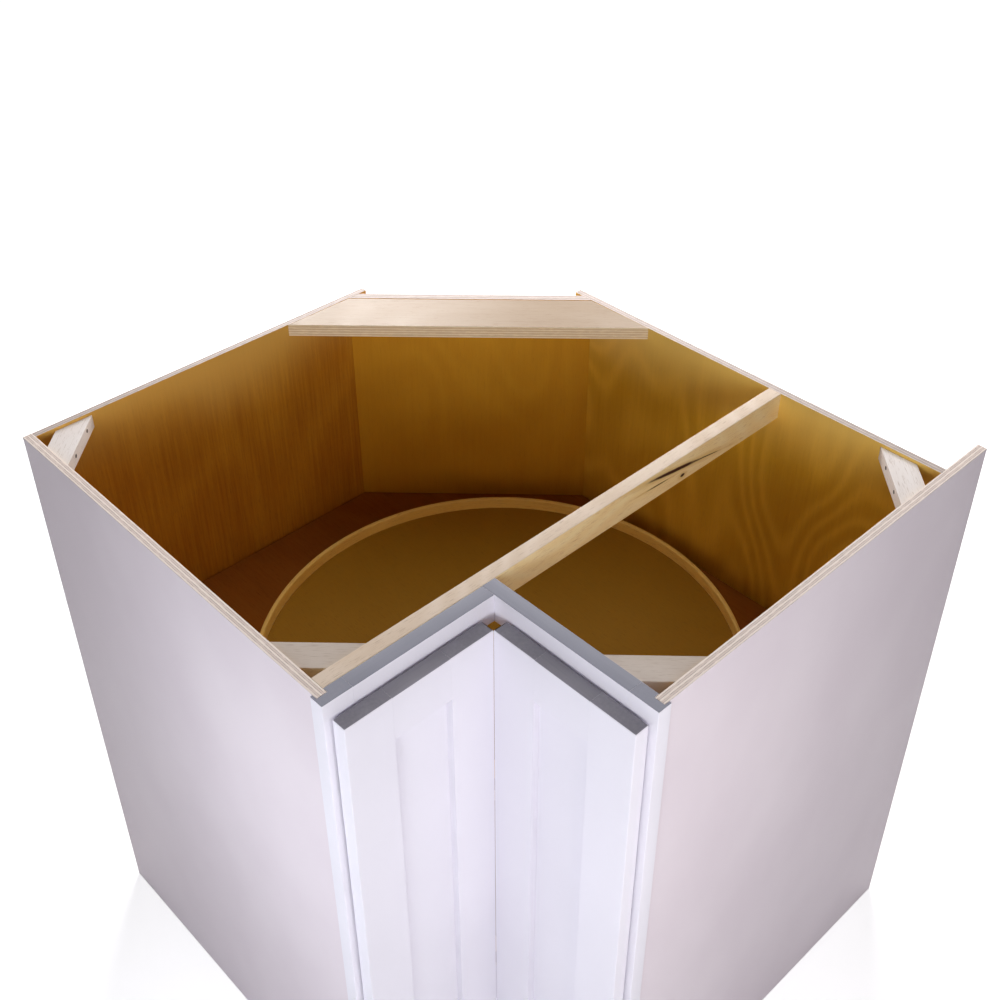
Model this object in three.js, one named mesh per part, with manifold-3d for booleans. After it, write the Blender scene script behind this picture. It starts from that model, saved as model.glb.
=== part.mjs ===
// Corner carousel cabinet: an L-shaped base cabinet with a cut-off back corner, a pair of
// bifold doors in the front corner and two kidney-shaped trays that turn on flat bearings.
// Millimetres, +Z up. The origin is the middle of the footprint, on the floor. The two room
// walls lie on -X and +Y, and the door corner looks towards +X and -Y.

import * as THREE from 'three';
import { mergeVertices } from 'three/addons/utils/BufferGeometryUtils.js';
import Module from 'manifold-3d';

const wasm = await Module();
wasm.setup();

// ---- overall ---------------------------------------------------------------
const width = 838.2; // along each wall
const height = 876.3;
const frameArm = 228.6; // length of each leg of the face frame
const toeHeight = 114.3;
const toeDepth = 76.2;

// ---- fits ------------------------------------------------------------------
const jointGap = 0.1; // glued or screwed joint between fixed pieces
const seatGap = 0.3; // a moving piece resting on its seat
const grooveClearance = 0.4; // each side of a panel edge in its groove

// ---- face frame ------------------------------------------------------------
const frameThickness = 19.05;
const frameWidth = 38.1; // stiles and rails
const frameOverhang = 3.175; // frame edge beyond the end panel's outer face
const panelEntry = 6.35; // end panel's front edge inside the stile groove

// ---- carcass panels --------------------------------------------------------
const endThickness = 12.7;
const leftWallThickness = 9.5;
const rightWallThickness = 11;
const rightWallInset = 72; // right end panel's back edge to the right wall panel
const diagonalThickness = 12.7;
const cornerLeg = 247.7; // length of each inner wall that the diagonal back cuts off
const wallTail = 14; // wall panel beyond the diagonal back
const deckThickness = 12.7;
const shelfTop = 522;
const shelfThickness = 19.05;
const toeBoardThickness = 12.7;

// ---- top members -----------------------------------------------------------
const beamWidth = 19.05;
const beamHeight = 38.1;
const stretcherDepth = 76.2;
const stretcherThickness = 18;
const braceWidth = 36;
const braceThickness = 19.05;
const braceDrop = 4.5; // brace top below the panel top
const braceLegs = { frontLeft: 24.5, frontRight: 28.5, backLeft: 25.5, backRight: 31 };

// ---- doors -----------------------------------------------------------------
const doorThickness = 19.05;
const doorGap = 2.9; // door back to face frame front
const doorEndReveal = 8.2; // frame end to door end
const doorTopReveal = 21.5;
const doorBottomReveal = 9.5;
const doorMember = 60.3; // stiles and rails
const panelRecess = 9.5; // door front to panel front
const panelThickness = 6.35;
const panelTongue = 9; // panel edge inside the groove

// ---- door hardware ---------------------------------------------------------
const hingeInset = 100; // door end to hinge centre
const cupRadius = 17.5;
const cupDepth = 11.5;
const cupSetback = 22.5; // door edge to cup centre
const cupClearance = 0.3;
const flangeThickness = 1.2;
const flangeHalfWidth = 21;
const flangeHalfHeight = 28;
const armPlateThickness = 2;
const armPlateHalfHeight = 25;
const armPlateSetback = 2; // plate edge inside the stile's faces
const armHalfHeight = 9;
const armThickness = 13;
const armReach = 40; // arm behind the face frame
const armFrontGap = 1; // arm nose behind the face frame front
const foldPlateStart = 8; // door's corner end to the fold plate
const foldPlateLength = 36;
const foldPlateHalfHeight = 22;
const foldPlateThickness = 2;
const foldArmOverhang = 6; // fold arm beyond the door's corner end
const foldArmLength = 36;
const foldArmHalfHeight = 8;
const foldArmThickness = 7;
const bumperRadius = 4.5;
const bumperSetback = 14; // door edge to bumper centre, sideways
const roundSteps = 32;
const cutMargin = 1; // a cutting block beyond the face that it opens

// ---- trays and bearings ----------------------------------------------------
const trayWallClearance = 31.3; // tray rim to the right wall panel
const trayEndClearance = 47.625; // tray rim to each end panel
const notchSetback = 21.45; // notch of the tray behind the face frame's back
const shoulderRadius = 70;
const notchFillet = 40;
const rimThickness = 6.35;
const rimHeight = 29;
const trayThickness = 12;
const bearingHeight = 9;
const bearingOuter = 152.4;
const bearingInner = 120;
const bearingWeb = 2; // sheet thickness of each flat ring
const bearingLip = 3; // radial width of the lips between the two rings
const degreesPerStep = 3;

// ---- derived places --------------------------------------------------------
const half = width / 2;
const frameFront = half - frameArm;
const frameBack = frameFront - frameThickness;
const endOuter = half - frameOverhang;
const endInner = endOuter - endThickness;
const leftWallInner = -half + leftWallThickness;
const rightWallOuter = half - rightWallInset;
const rightWallInner = rightWallOuter - rightWallThickness;
const diagonalInner = rightWallInner - leftWallInner - cornerLeg; // y - x on the inner face
const diagonalOuter = diagonalInner + diagonalThickness * Math.SQRT2;
const toePlane = frameFront - toeDepth;
const deckTop = toeHeight + frameWidth;
const deckBottom = deckTop - deckThickness;
const beamFront = frameBack - jointGap;
const beamBack = beamFront - beamWidth;
const doorBack = frameFront + doorGap;
const doorFront = doorBack + doorThickness;
const doorEnd = half - doorEndReveal;
const doorWidth = doorEnd - doorFront;
const doorTop = height - doorTopReveal;
const doorBottom = toeHeight + doorBottomReveal;
const bumperInset = (frameWidth - doorTopReveal) / 2; // middle of the door's lap on the top rail
const panelFront = doorThickness - panelRecess;
const panelBack = panelFront - panelThickness;
const hingeHeights = { upper: doorTop - hingeInset, lower: doorBottom + hingeInset };
// The tray axis is at (trayCentre, -trayCentre), and the rim faces of the notch are at
// x = notchPlane and y = -notchPlane.
const trayCentre = (endInner - rightWallInner + trayWallClearance - trayEndClearance) / 2;
const trayRadius = endInner - trayCentre - trayEndClearance;
const notchPlane = frameBack - notchSetback;

// ---- finishes --------------------------------------------------------------
const finishes = {
  paint: { color: 0xe6e3ef, roughness: 0.45, metalness: 0 },
  endPanel: { color: 0xd9d3de, roughness: 0.5, metalness: 0 },
  plywood: { color: 0xb98b4e, roughness: 0.6, metalness: 0 },
  pine: { color: 0xddc49a, roughness: 0.65, metalness: 0 },
  trayFloor: { color: 0x8f6c2c, roughness: 0.55, metalness: 0 },
  trayRim: { color: 0xb48f52, roughness: 0.55, metalness: 0 },
  steel: { color: 0xb9bbbd, roughness: 0.35, metalness: 1 },
  bumper: { color: 0xe8ebec, roughness: 0.2, metalness: 0 },
};

// ---- geometry helpers ------------------------------------------------------

function block(low, high) {
  const size = high.map((value, axis) => value - low[axis]);
  const middle = high.map((value, axis) => (value + low[axis]) / 2);
  return new THREE.BoxGeometry(...size).translate(...middle);
}

function slab(points, bottom, top, holes = []) {
  const shape = new THREE.Shape(points.map(([x, y]) => new THREE.Vector2(x, y)));
  for (const hole of holes) {
    shape.holes.push(new THREE.Path(hole.map(([x, y]) => new THREE.Vector2(x, y))));
  }
  const geometry = new THREE.ExtrudeGeometry(shape, { depth: top - bottom, bevelEnabled: false });
  return geometry.translate(0, 0, bottom);
}

function toSolid(geometry) {
  const bare = geometry.clone();
  bare.deleteAttribute('normal');
  bare.deleteAttribute('uv');
  const merged = mergeVertices(bare, 1e-4);
  const mesh = new wasm.Mesh({
    numProp: 3,
    vertProperties: new Float32Array(merged.attributes.position.array),
    triVerts: new Uint32Array(merged.index.array),
  });
  return new wasm.Manifold(mesh);
}

function toGeometry(solid) {
  const mesh = solid.getMesh();
  const geometry = new THREE.BufferGeometry();
  geometry.setAttribute('position', new THREE.BufferAttribute(mesh.vertProperties, 3));
  geometry.setIndex(new THREE.BufferAttribute(mesh.triVerts, 1));
  geometry.computeVertexNormals();
  return geometry;
}

function cut(geometry, ...tools) {
  const solid = tools.reduce((rest, tool) => rest.subtract(toSolid(tool)), toSolid(geometry));
  return toGeometry(solid);
}

function join(...pieces) {
  const solids = pieces.map(toSolid);
  return toGeometry(solids.reduce((whole, piece) => whole.add(piece)));
}

function addPart(parent, name, geometry, finish) {
  const mesh = new THREE.Mesh(geometry, new THREE.MeshStandardMaterial(finishes[finish]));
  mesh.name = name;
  parent.add(mesh);
}

function arc([x, y], radius, from, to) {
  const steps = Math.max(2, Math.ceil(Math.abs(to - from) / THREE.MathUtils.degToRad(degreesPerStep)));
  return Array.from({ length: steps + 1 }, (_, step) => {
    const angle = from + ((to - from) * step) / steps;
    return [x + radius * Math.cos(angle), y + radius * Math.sin(angle)];
  });
}

// Swaps the two arms of the cabinet: the mirror line runs through the door corner.
function mirrored([x, y]) {
  return [-y, -x];
}

// ---- carcass ---------------------------------------------------------------

function endPanelOutline(backEdge) {
  return [
    [backEdge, 0],
    [toePlane, 0],
    [toePlane, toeHeight],
    [frameBack + panelEntry, toeHeight],
    [frameBack + panelEntry, height],
    [backEdge, height],
  ];
}

// The outline is drawn as (distance towards the front, height) and stood up on its edge.
function leftEndPanel() {
  const geometry = slab(endPanelOutline(-half), 0, endThickness);
  return geometry.rotateX(Math.PI / 2).translate(0, -endInner, 0);
}

function rightEndPanel() {
  const geometry = slab(endPanelOutline(-half), 0, endThickness);
  return geometry.rotateX(Math.PI / 2).rotateZ(-Math.PI / 2).translate(endOuter, 0, 0);
}

function leftWallPanel() {
  const far = leftWallInner + diagonalOuter + wallTail;
  return block([-half, -endInner + jointGap, 0], [leftWallInner, far, height]);
}

function rightWallPanel() {
  const far = rightWallInner - diagonalOuter - wallTail;
  return block([far, rightWallInner, 0], [endInner - jointGap, rightWallOuter, height]);
}

// A board across the back corner, between the lines y - x = near and y - x = far.
function acrossCorner(near, far, bottom, top) {
  const left = leftWallInner + jointGap;
  const right = rightWallInner - jointGap;
  const outline = [
    [left, left + near],
    [right - near, right],
    [right - far, right],
    [left, left + far],
  ];
  return slab(outline, bottom, top);
}

function diagonalBackPanel() {
  return acrossCorner(diagonalInner, diagonalOuter, 0, height);
}

function backStretcher() {
  const far = diagonalInner - jointGap * Math.SQRT2;
  return acrossCorner(far - stretcherDepth * Math.SQRT2, far, height - stretcherThickness, height);
}

function interiorPlate(bottom, top) {
  const left = leftWallInner + jointGap;
  const front = frameBack - jointGap;
  const side = endInner - jointGap;
  const back = rightWallInner - jointGap;
  const diagonal = diagonalInner - jointGap * Math.SQRT2;
  const outline = [
    [left, -side],
    [front, -side],
    [front, -front],
    [side, -front],
    [side, back],
    [back - diagonal, back],
    [left, left + diagonal],
  ];
  return slab(outline, bottom, top);
}

function supportBeam() {
  const low = [beamBack, -endInner + jointGap, height - beamHeight];
  return block(low, [beamFront, rightWallInner - jointGap, height]);
}

// A flat board with mitred ends across the corner at (x, y). The signs point into the cabinet.
function cornerBrace([x, y], [signX, signY], nearLeg) {
  const farLeg = nearLeg + braceWidth * Math.SQRT2;
  const cornerX = x + signX * jointGap;
  const cornerY = y + signY * jointGap;
  const outline = [
    [cornerX + signX * nearLeg, cornerY],
    [cornerX + signX * farLeg, cornerY],
    [cornerX, cornerY + signY * farLeg],
    [cornerX, cornerY + signY * nearLeg],
  ];
  const ordered = signX * signY > 0 ? outline : outline.reverse();
  const top = height - braceDrop;
  return slab(ordered, top - braceThickness, top);
}

function toeBoard(isLeft) {
  const back = toePlane - toeBoardThickness;
  const top = deckBottom - jointGap;
  const side = endInner - jointGap;
  if (isLeft) return block([back, -side, 0], [toePlane, -toePlane - jointGap, top]);
  return block([back, -toePlane, 0], [side, -back, top]);
}

// ---- face frame ------------------------------------------------------------

function stile(isLeft) {
  const low = [frameBack, -half, toeHeight];
  const high = [frameFront, -half + frameWidth, height];
  const grooveLow = [
    frameBack - cutMargin,
    -endOuter - grooveClearance,
    toeHeight - cutMargin,
  ];
  const grooveHigh = [
    frameBack + panelEntry + grooveClearance,
    -endInner + grooveClearance,
    height + cutMargin,
  ];
  if (isLeft) return cut(block(low, high), block(grooveLow, grooveHigh));
  return cut(mirroredBlock(low, high), mirroredBlock(grooveLow, grooveHigh));
}

function mirroredBlock(low, high) {
  const [lowX, lowY] = mirrored(high);
  const [highX, highY] = mirrored(low);
  return block([lowX, lowY, low[2]], [highX, highY, high[2]]);
}

function rail(isLeft, bottom) {
  const end = half - frameWidth - jointGap;
  const top = bottom + frameWidth;
  if (isLeft) return block([frameBack, -end, bottom], [frameFront, -frameFront - jointGap, top]);
  return block([frameBack, -frameFront, bottom], [end, -frameBack, top]);
}

// ---- doors -----------------------------------------------------------------
// A door is built lying along its own X axis, from 0 to doorWidth, with its back on y = 0 and
// its front on y = doorThickness.

function panelGroove() {
  const reach = panelTongue + grooveClearance;
  const low = [doorMember - reach, panelBack - grooveClearance / 2, doorBottom + doorMember - reach];
  const high = [
    doorWidth - doorMember + reach,
    panelFront + grooveClearance / 2,
    doorTop - doorMember + reach,
  ];
  return block(low, high);
}

function roundPeg(radius, x, from, to, z) {
  const peg = new THREE.CylinderGeometry(radius, radius, to - from, roundSteps);
  return peg.translate(x, (from + to) / 2, z);
}

function doorStile(from, pocketX) {
  const bar = block([from, 0, doorBottom], [from + doorMember, doorThickness, doorTop]);
  const cuts = [panelGroove()];
  if (pocketX !== null) {
    for (const z of Object.values(hingeHeights)) {
      cuts.push(roundPeg(cupRadius + cupClearance, pocketX, -cutMargin, cupDepth + cupClearance, z));
    }
  }
  return cut(bar, ...cuts);
}

function doorRail(bottom) {
  const low = [doorMember + jointGap, 0, bottom];
  const high = [doorWidth - doorMember - jointGap, doorThickness, bottom + doorMember];
  return cut(block(low, high), panelGroove());
}

function doorPanel() {
  const inset = doorMember - panelTongue;
  const low = [inset, panelBack, doorBottom + inset];
  return block(low, [doorWidth - inset, panelFront, doorTop - inset]);
}

function hingeCup(x, z) {
  const flange = block(
    [x - flangeHalfWidth, -jointGap - flangeThickness, z - flangeHalfHeight],
    [x + flangeHalfWidth, -jointGap, z + flangeHalfHeight],
  );
  return join(flange, roundPeg(cupRadius, x, -jointGap - flangeThickness / 2, cupDepth, z));
}

// On the back of the left door, whose corner end is at x = 0.
function foldPlate(z) {
  const plate = block(
    [foldPlateStart, -jointGap - foldPlateThickness, z - foldPlateHalfHeight],
    [foldPlateStart + foldPlateLength, -jointGap, z + foldPlateHalfHeight],
  );
  const armTop = -jointGap - foldPlateThickness / 2;
  const arm = block(
    [-foldArmOverhang, armTop - foldArmThickness, z - foldArmHalfHeight],
    [foldArmLength - foldArmOverhang, armTop, z + foldArmHalfHeight],
  );
  return join(plate, arm);
}

function bumper(x, z) {
  return roundPeg(bumperRadius, x, seatGap - doorGap, -jointGap, z);
}

// The corner end is at x = 0 on the left door and at x = doorWidth on the right one. Each door
// has its hinge cups in one stile: the outer one on the left door, the corner one on the right.
function buildDoor(side) {
  const door = new THREE.Group();
  const isLeft = side === 'left';
  const farStile = doorWidth - doorMember;
  const cupX = doorWidth - cupSetback;
  const bumperX = bumperSetback;
  const nearName = isLeft ? 'corner' : 'outer';
  const farName = isLeft ? 'outer' : 'corner';
  addPart(door, `${side}_door_${nearName}_stile`, doorStile(0, null), 'paint');
  addPart(door, `${side}_door_${farName}_stile`, doorStile(farStile, cupX), 'paint');
  addPart(door, `${side}_door_top_rail`, doorRail(doorTop - doorMember), 'paint');
  addPart(door, `${side}_door_bottom_rail`, doorRail(doorBottom), 'paint');
  addPart(door, `${side}_door_panel`, doorPanel(), 'paint');
  addPart(door, `${side}_door_top_bumper`, bumper(bumperX, doorTop - bumperInset), 'bumper');
  addPart(door, `${side}_door_bottom_bumper`, bumper(bumperX, doorBottom + bumperInset), 'bumper');
  for (const [level, z] of Object.entries(hingeHeights)) {
    const cupName = isLeft ? `${level}_frame_hinge_cup` : `${level}_fold_hinge_cup`;
    addPart(door, cupName, hingeCup(cupX, z), 'steel');
    if (isLeft) addPart(door, `${level}_fold_hinge_plate`, foldPlate(z), 'steel');
  }
  return door;
}

// Screwed to the left stile's inner edge, reaching back into the cabinet.
function frameHingeArm(z) {
  const seat = -half + frameWidth + jointGap;
  const plate = block(
    [frameBack + armPlateSetback, seat, z - armPlateHalfHeight],
    [frameFront - armPlateSetback, seat + armPlateThickness, z + armPlateHalfHeight],
  );
  const arm = block(
    [frameBack - armReach, seat + armPlateThickness / 2, z - armHalfHeight],
    [frameFront - armFrontGap, seat + armThickness, z + armHalfHeight],
  );
  return join(plate, arm);
}

// ---- trays -----------------------------------------------------------------

// Outline of the kidney, drawn about the tray axis and moved in by inset all round.
function kidney(inset) {
  const edge = notchPlane - trayCentre;
  const lobeX = edge - shoulderRadius;
  const lobe = [lobeX, -Math.sqrt((trayRadius - shoulderRadius) ** 2 - lobeX ** 2)];
  const otherLobe = mirrored(lobe);
  const notch = edge + notchFillet;
  const lobeAngle = Math.atan2(lobe[1], lobe[0]);
  const otherAngle = Math.atan2(otherLobe[1], otherLobe[0]);
  return [
    ...arc([0, 0], trayRadius - inset, otherAngle, lobeAngle + 2 * Math.PI).slice(0, -1),
    ...arc(lobe, shoulderRadius - inset, lobeAngle, 0),
    ...arc([notch, -notch], notchFillet + inset, Math.PI, Math.PI / 2),
    ...arc(otherLobe, shoulderRadius - inset, -Math.PI / 2, otherAngle).slice(0, -1),
  ];
}

// A pressed bearing ring: a flat web on the seat, and a lip that runs up to the other ring's
// web. The base ring has its lip at the outer edge and the top ring at the inner edge.
function bearingRing(isBase) {
  const low = jointGap;
  const high = bearingHeight - jointGap;
  const reach = bearingWeb + seatGap;
  const web = isBase ? [low, low + bearingWeb] : [high - bearingWeb, high];
  const lip = isBase ? [low, high - reach] : [low + reach, high];
  const lipInner = isBase ? bearingOuter - bearingLip : bearingInner;
  return join(
    ringGeometry(bearingInner, bearingOuter, ...web),
    ringGeometry(lipInner, lipInner + bearingLip, ...lip),
  );
}

function ringGeometry(inner, outer, bottom, top) {
  const profile = [[inner, bottom], [outer, bottom], [outer, top], [inner, top], [inner, bottom]];
  const points = profile.map(([r, z]) => new THREE.Vector2(r, z));
  const steps = 360 / degreesPerStep / 2;
  return new THREE.LatheGeometry(points, steps).rotateX(Math.PI / 2);
}

function buildTray(level, seat) {
  const tray = new THREE.Group();
  tray.position.set(trayCentre, -trayCentre, seat);
  const floorInset = rimThickness + jointGap;
  const floor = slab(kidney(floorInset), bearingHeight, bearingHeight + trayThickness);
  const rim = slab(kidney(0), bearingHeight, bearingHeight + rimHeight, [kidney(rimThickness)]);
  addPart(tray, `${level}_tray_floor`, floor, 'trayFloor');
  addPart(tray, `${level}_tray_rim`, rim, 'trayRim');
  addPart(tray, `${level}_bearing_top_ring`, bearingRing(false), 'steel');
  return tray;
}

function buildBearingBase(level, seat) {
  const base = new THREE.Group();
  base.position.set(trayCentre, -trayCentre, seat);
  addPart(base, `${level}_bearing_base_ring`, bearingRing(true), 'steel');
  return base;
}

// ---- assembly --------------------------------------------------------------

function buildCarcass() {
  const carcass = new THREE.Group();
  addPart(carcass, 'left_end_panel', leftEndPanel(), 'endPanel');
  addPart(carcass, 'right_end_panel', rightEndPanel(), 'endPanel');
  addPart(carcass, 'left_wall_panel', leftWallPanel(), 'plywood');
  addPart(carcass, 'right_wall_panel', rightWallPanel(), 'plywood');
  addPart(carcass, 'diagonal_back_panel', diagonalBackPanel(), 'plywood');
  addPart(carcass, 'floor_panel', interiorPlate(deckBottom, deckTop), 'plywood');
  addPart(carcass, 'fixed_shelf', interiorPlate(shelfTop - shelfThickness, shelfTop), 'plywood');
  addPart(carcass, 'back_stretcher', backStretcher(), 'plywood');
  addPart(carcass, 'support_beam', supportBeam(), 'pine');
  const braces = {
    frontLeft: ['front_left_brace', [beamBack, -endInner], [-1, 1]],
    frontRight: ['front_right_brace', [endInner, -frameBack], [-1, 1]],
    backLeft: ['back_left_brace', [leftWallInner, -endInner], [1, 1]],
    backRight: ['back_right_brace', [endInner, rightWallInner], [-1, -1]],
  };
  for (const [place, [name, corner, signs]] of Object.entries(braces)) {
    addPart(carcass, name, cornerBrace(corner, signs, braceLegs[place]), 'pine');
  }
  for (const side of ['left', 'right']) {
    const isLeft = side === 'left';
    addPart(carcass, `${side}_frame_stile`, stile(isLeft), 'paint');
    addPart(carcass, `${side}_frame_top_rail`, rail(isLeft, height - frameWidth), 'paint');
    addPart(carcass, `${side}_frame_bottom_rail`, rail(isLeft, toeHeight), 'paint');
    addPart(carcass, `${side}_toe_board`, toeBoard(isLeft), 'paint');
  }
  for (const [level, z] of Object.entries(hingeHeights)) {
    addPart(carcass, `${level}_frame_hinge_arm`, frameHingeArm(z), 'steel');
  }
  return carcass;
}

const cabinet = new THREE.Group();
cabinet.add(buildCarcass());

const leftDoor = buildDoor('left');
leftDoor.rotation.z = -Math.PI / 2;
leftDoor.position.set(doorBack, -doorFront, 0);
cabinet.add(leftDoor);

const rightDoor = buildDoor('right');
rightDoor.rotation.z = Math.PI;
rightDoor.position.set(doorEnd, -doorBack, 0);
cabinet.add(rightDoor);

for (const [level, seat] of Object.entries({ upper: shelfTop, lower: deckTop })) {
  cabinet.add(buildBearingBase(level, seat));
  cabinet.add(buildTray(level, seat));
}

export default cabinet;
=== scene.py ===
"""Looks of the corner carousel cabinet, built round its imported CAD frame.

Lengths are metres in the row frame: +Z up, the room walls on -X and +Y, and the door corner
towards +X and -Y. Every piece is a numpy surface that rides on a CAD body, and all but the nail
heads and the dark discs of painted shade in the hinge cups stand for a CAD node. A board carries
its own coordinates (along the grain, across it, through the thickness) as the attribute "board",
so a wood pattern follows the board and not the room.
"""

import logging
import math
from collections.abc import Callable
from dataclasses import dataclass, field
from enum import Enum

import bmesh
import bpy
import numpy as np
from bpy.types import Node, NodeSocket
from mathutils import Matrix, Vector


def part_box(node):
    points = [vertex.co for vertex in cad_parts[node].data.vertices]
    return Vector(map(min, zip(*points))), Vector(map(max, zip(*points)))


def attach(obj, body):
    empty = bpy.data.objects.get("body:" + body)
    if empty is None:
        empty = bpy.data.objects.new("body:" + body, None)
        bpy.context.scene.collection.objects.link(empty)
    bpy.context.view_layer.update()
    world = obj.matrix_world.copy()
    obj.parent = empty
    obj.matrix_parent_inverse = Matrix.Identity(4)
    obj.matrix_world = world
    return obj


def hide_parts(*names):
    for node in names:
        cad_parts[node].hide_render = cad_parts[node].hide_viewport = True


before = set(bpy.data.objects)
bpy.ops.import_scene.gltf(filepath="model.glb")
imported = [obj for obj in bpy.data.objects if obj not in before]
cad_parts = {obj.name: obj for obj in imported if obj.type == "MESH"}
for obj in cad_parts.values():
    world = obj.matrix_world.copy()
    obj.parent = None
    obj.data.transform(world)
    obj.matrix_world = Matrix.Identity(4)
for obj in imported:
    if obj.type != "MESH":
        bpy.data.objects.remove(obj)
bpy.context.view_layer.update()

LOG = logging.getLogger("corner_cabinet")
BOARD = "board"
ARRIS_STEPS = 3
SHARP_ANGLE = math.radians(12.0)
MERGE_REACH = 2e-7
# painted light: the heights over which the wall veneers turn paler towards the open top
PAINTED_LIGHT_START, PAINTED_LIGHT_END = 0.76, 0.90

Colour = tuple[float, float, float]
Point = tuple[float, float, float]
Feed = NodeSocket | float | Colour
Maker = Callable[[], bpy.types.NodeTree]


class Axis(Enum):
    """The three directions of the row frame."""

    X = 0
    Y = 1
    Z = 2

    @property
    def unit(self) -> np.ndarray:
        """The unit vector of this direction."""
        return np.eye(3)[self.value]


class Side(Enum):
    """The two arms of the cabinet."""

    LEFT = "left"
    RIGHT = "right"


class Level(Enum):
    """The two storeys of trays, hinges and bearings."""

    UPPER = "upper"
    LOWER = "lower"


def srgb(red: int, green: int, blue: int) -> Colour:
    """Turns a display colour into the linear one that Blender's sockets take.

    Args:
        red: display red from 0 to 255.
        green: display green from 0 to 255.
        blue: display blue from 0 to 255.

    Returns:
        The same colour with linear components from 0 to 1.
    """
    share = np.array([red, green, blue]) / 255.0
    low, high = share / 12.92, ((share + 0.055) / 1.055) ** 2.4
    return tuple(float(c) for c in np.where(share <= 0.04045, low, high))


def node_box(node: str) -> tuple[np.ndarray, np.ndarray]:
    """Lowest and highest corner of a CAD node as arrays.

    Args:
        node: the CAD node's name.

    Returns:
        The two corners, in metres.
    """
    low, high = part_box(node)
    return np.array(low), np.array(high)


# ---- shader graphs -----------------------------------------------------------


@dataclass
class Graph:
    """A node tree with short calls for adding and wiring its nodes."""

    tree: bpy.types.NodeTree

    def add(self, kind: str, **settings: str | bpy.types.NodeTree) -> Node:
        """Adds a node and sets its own properties.

        Args:
            kind: the node's type name.
            settings: property names and values.

        Returns:
            The new node.
        """
        node = self.tree.nodes.new(kind)
        for name, value in settings.items():
            setattr(node, name, value)
        return node

    def feed(self, socket: NodeSocket, value: Feed) -> None:
        """Links a socket to another one, or sets its value.

        Args:
            socket: the input to feed.
            value: an output socket, a number, a colour or a vector.
        """
        if isinstance(value, NodeSocket):
            self.tree.links.new(value, socket)
        elif isinstance(value, tuple) and len(value) == 3 and socket.type == "RGBA":
            socket.default_value = (*value, 1.0)
        else:
            socket.default_value = value

    def math(self, operation: str, *values: Feed) -> NodeSocket:
        """One arithmetic step.

        Args:
            operation: Blender's name for the step, such as MULTIPLY.
            values: sockets or numbers, in the node's order.

        Returns:
            The result's socket.
        """
        node = self.add("ShaderNodeMath", operation=operation)
        for socket, value in zip(node.inputs, values):
            self.feed(socket, value)
        return node.outputs[0]

    def clamp(self, value: Feed) -> NodeSocket:
        """Holds a number between 0 and 1.

        Args:
            value: the number or its socket.

        Returns:
            The held number's socket.
        """
        node = self.add("ShaderNodeClamp")
        self.feed(node.inputs[0], value)
        return node.outputs[0]

    def smooth(self, value: Feed, start: float, end: float) -> NodeSocket:
        """A smooth step from 0 at start to 1 at end.

        Args:
            value: the number to step.
            start: where the step begins.
            end: where the step ends; below start it turns the step round.

        Returns:
            The stepped number's socket.
        """
        node = self.add("ShaderNodeMapRange", interpolation_type="SMOOTHSTEP")
        self.feed(node.inputs["Value"], value)
        low, high, out_low, out_high = (start, end, 0.0, 1.0) if start < end else (end, start, 1.0, 0.0)
        for name, number in zip(("From Min", "From Max", "To Min", "To Max"), (low, high, out_low, out_high)):
            node.inputs[name].default_value = number
        return node.outputs["Result"]

    def mix(self, share: Feed, first: Feed, second: Feed) -> NodeSocket:
        """Mixes two colours.

        Args:
            share: how much of the second, from 0 to 1.
            first: the first colour.
            second: the second colour.

        Returns:
            The mixed colour's socket.
        """
        node = self.add("ShaderNodeMix", data_type="RGBA")
        self.feed(node.inputs[0], share)
        self.feed(node.inputs[6], first)
        self.feed(node.inputs[7], second)
        return node.outputs[2]

    def stretch(self, vector: NodeSocket, scale: Point, offset: Point = (0.0, 0.0, 0.0)) -> NodeSocket:
        """Scales and moves a pattern's coordinates.

        Args:
            vector: the coordinates' socket.
            scale: the factor in each direction, per metre.
            offset: what is added after scaling.

        Returns:
            The new coordinates' socket.
        """
        node = self.add("ShaderNodeMapping")
        self.feed(node.inputs["Vector"], vector)
        node.inputs["Scale"].default_value = scale
        node.inputs["Location"].default_value = offset
        return node.outputs[0]

    def noise(self, vector: NodeSocket, detail: float, rough: float = 0.5) -> NodeSocket:
        """Soft noise with a period of about one unit of its coordinates.

        Args:
            vector: the coordinates' socket.
            detail: how many finer octaves are added.
            rough: how strong each octave is against the one before.

        Returns:
            The noise's socket, around 0.5.
        """
        node = self.add("ShaderNodeTexNoise")
        self.feed(node.inputs["Vector"], vector)
        node.inputs["Scale"].default_value = 1.0
        node.inputs["Detail"].default_value = detail
        node.inputs["Roughness"].default_value = rough
        return node.outputs[0]

    def weigh(self, value: NodeSocket, strength: Feed) -> NodeSocket:
        """A noise value's distance from one half, times a strength."""
        return self.math("MULTIPLY", self.math("SUBTRACT", value, 0.5), strength)


def make_group(
    name: str, inputs: dict[str, float | None], outputs: list[str]
) -> tuple[Graph, bpy.types.bpy_prop_collection, bpy.types.bpy_prop_collection]:
    """Starts a shader node group with named sockets.

    Args:
        name: the group's name.
        inputs: input names with their defaults; None makes a vector input.
        outputs: the names of the number outputs.

    Returns:
        The group's graph, its input node's outputs and its output node's inputs.
    """
    tree = bpy.data.node_groups.new(name, "ShaderNodeTree")
    for socket, default in inputs.items():
        kind = "NodeSocketVector" if default is None else "NodeSocketFloat"
        made = tree.interface.new_socket(name=socket, in_out="INPUT", socket_type=kind)
        if default is not None:
            made.default_value = default
    for socket in outputs:
        tree.interface.new_socket(name=socket, in_out="OUTPUT", socket_type="NodeSocketFloat")
    graph = Graph(tree)
    source = graph.add("NodeGroupInput").outputs
    sink = graph.add("NodeGroupOutput").inputs
    return graph, source, sink


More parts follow.
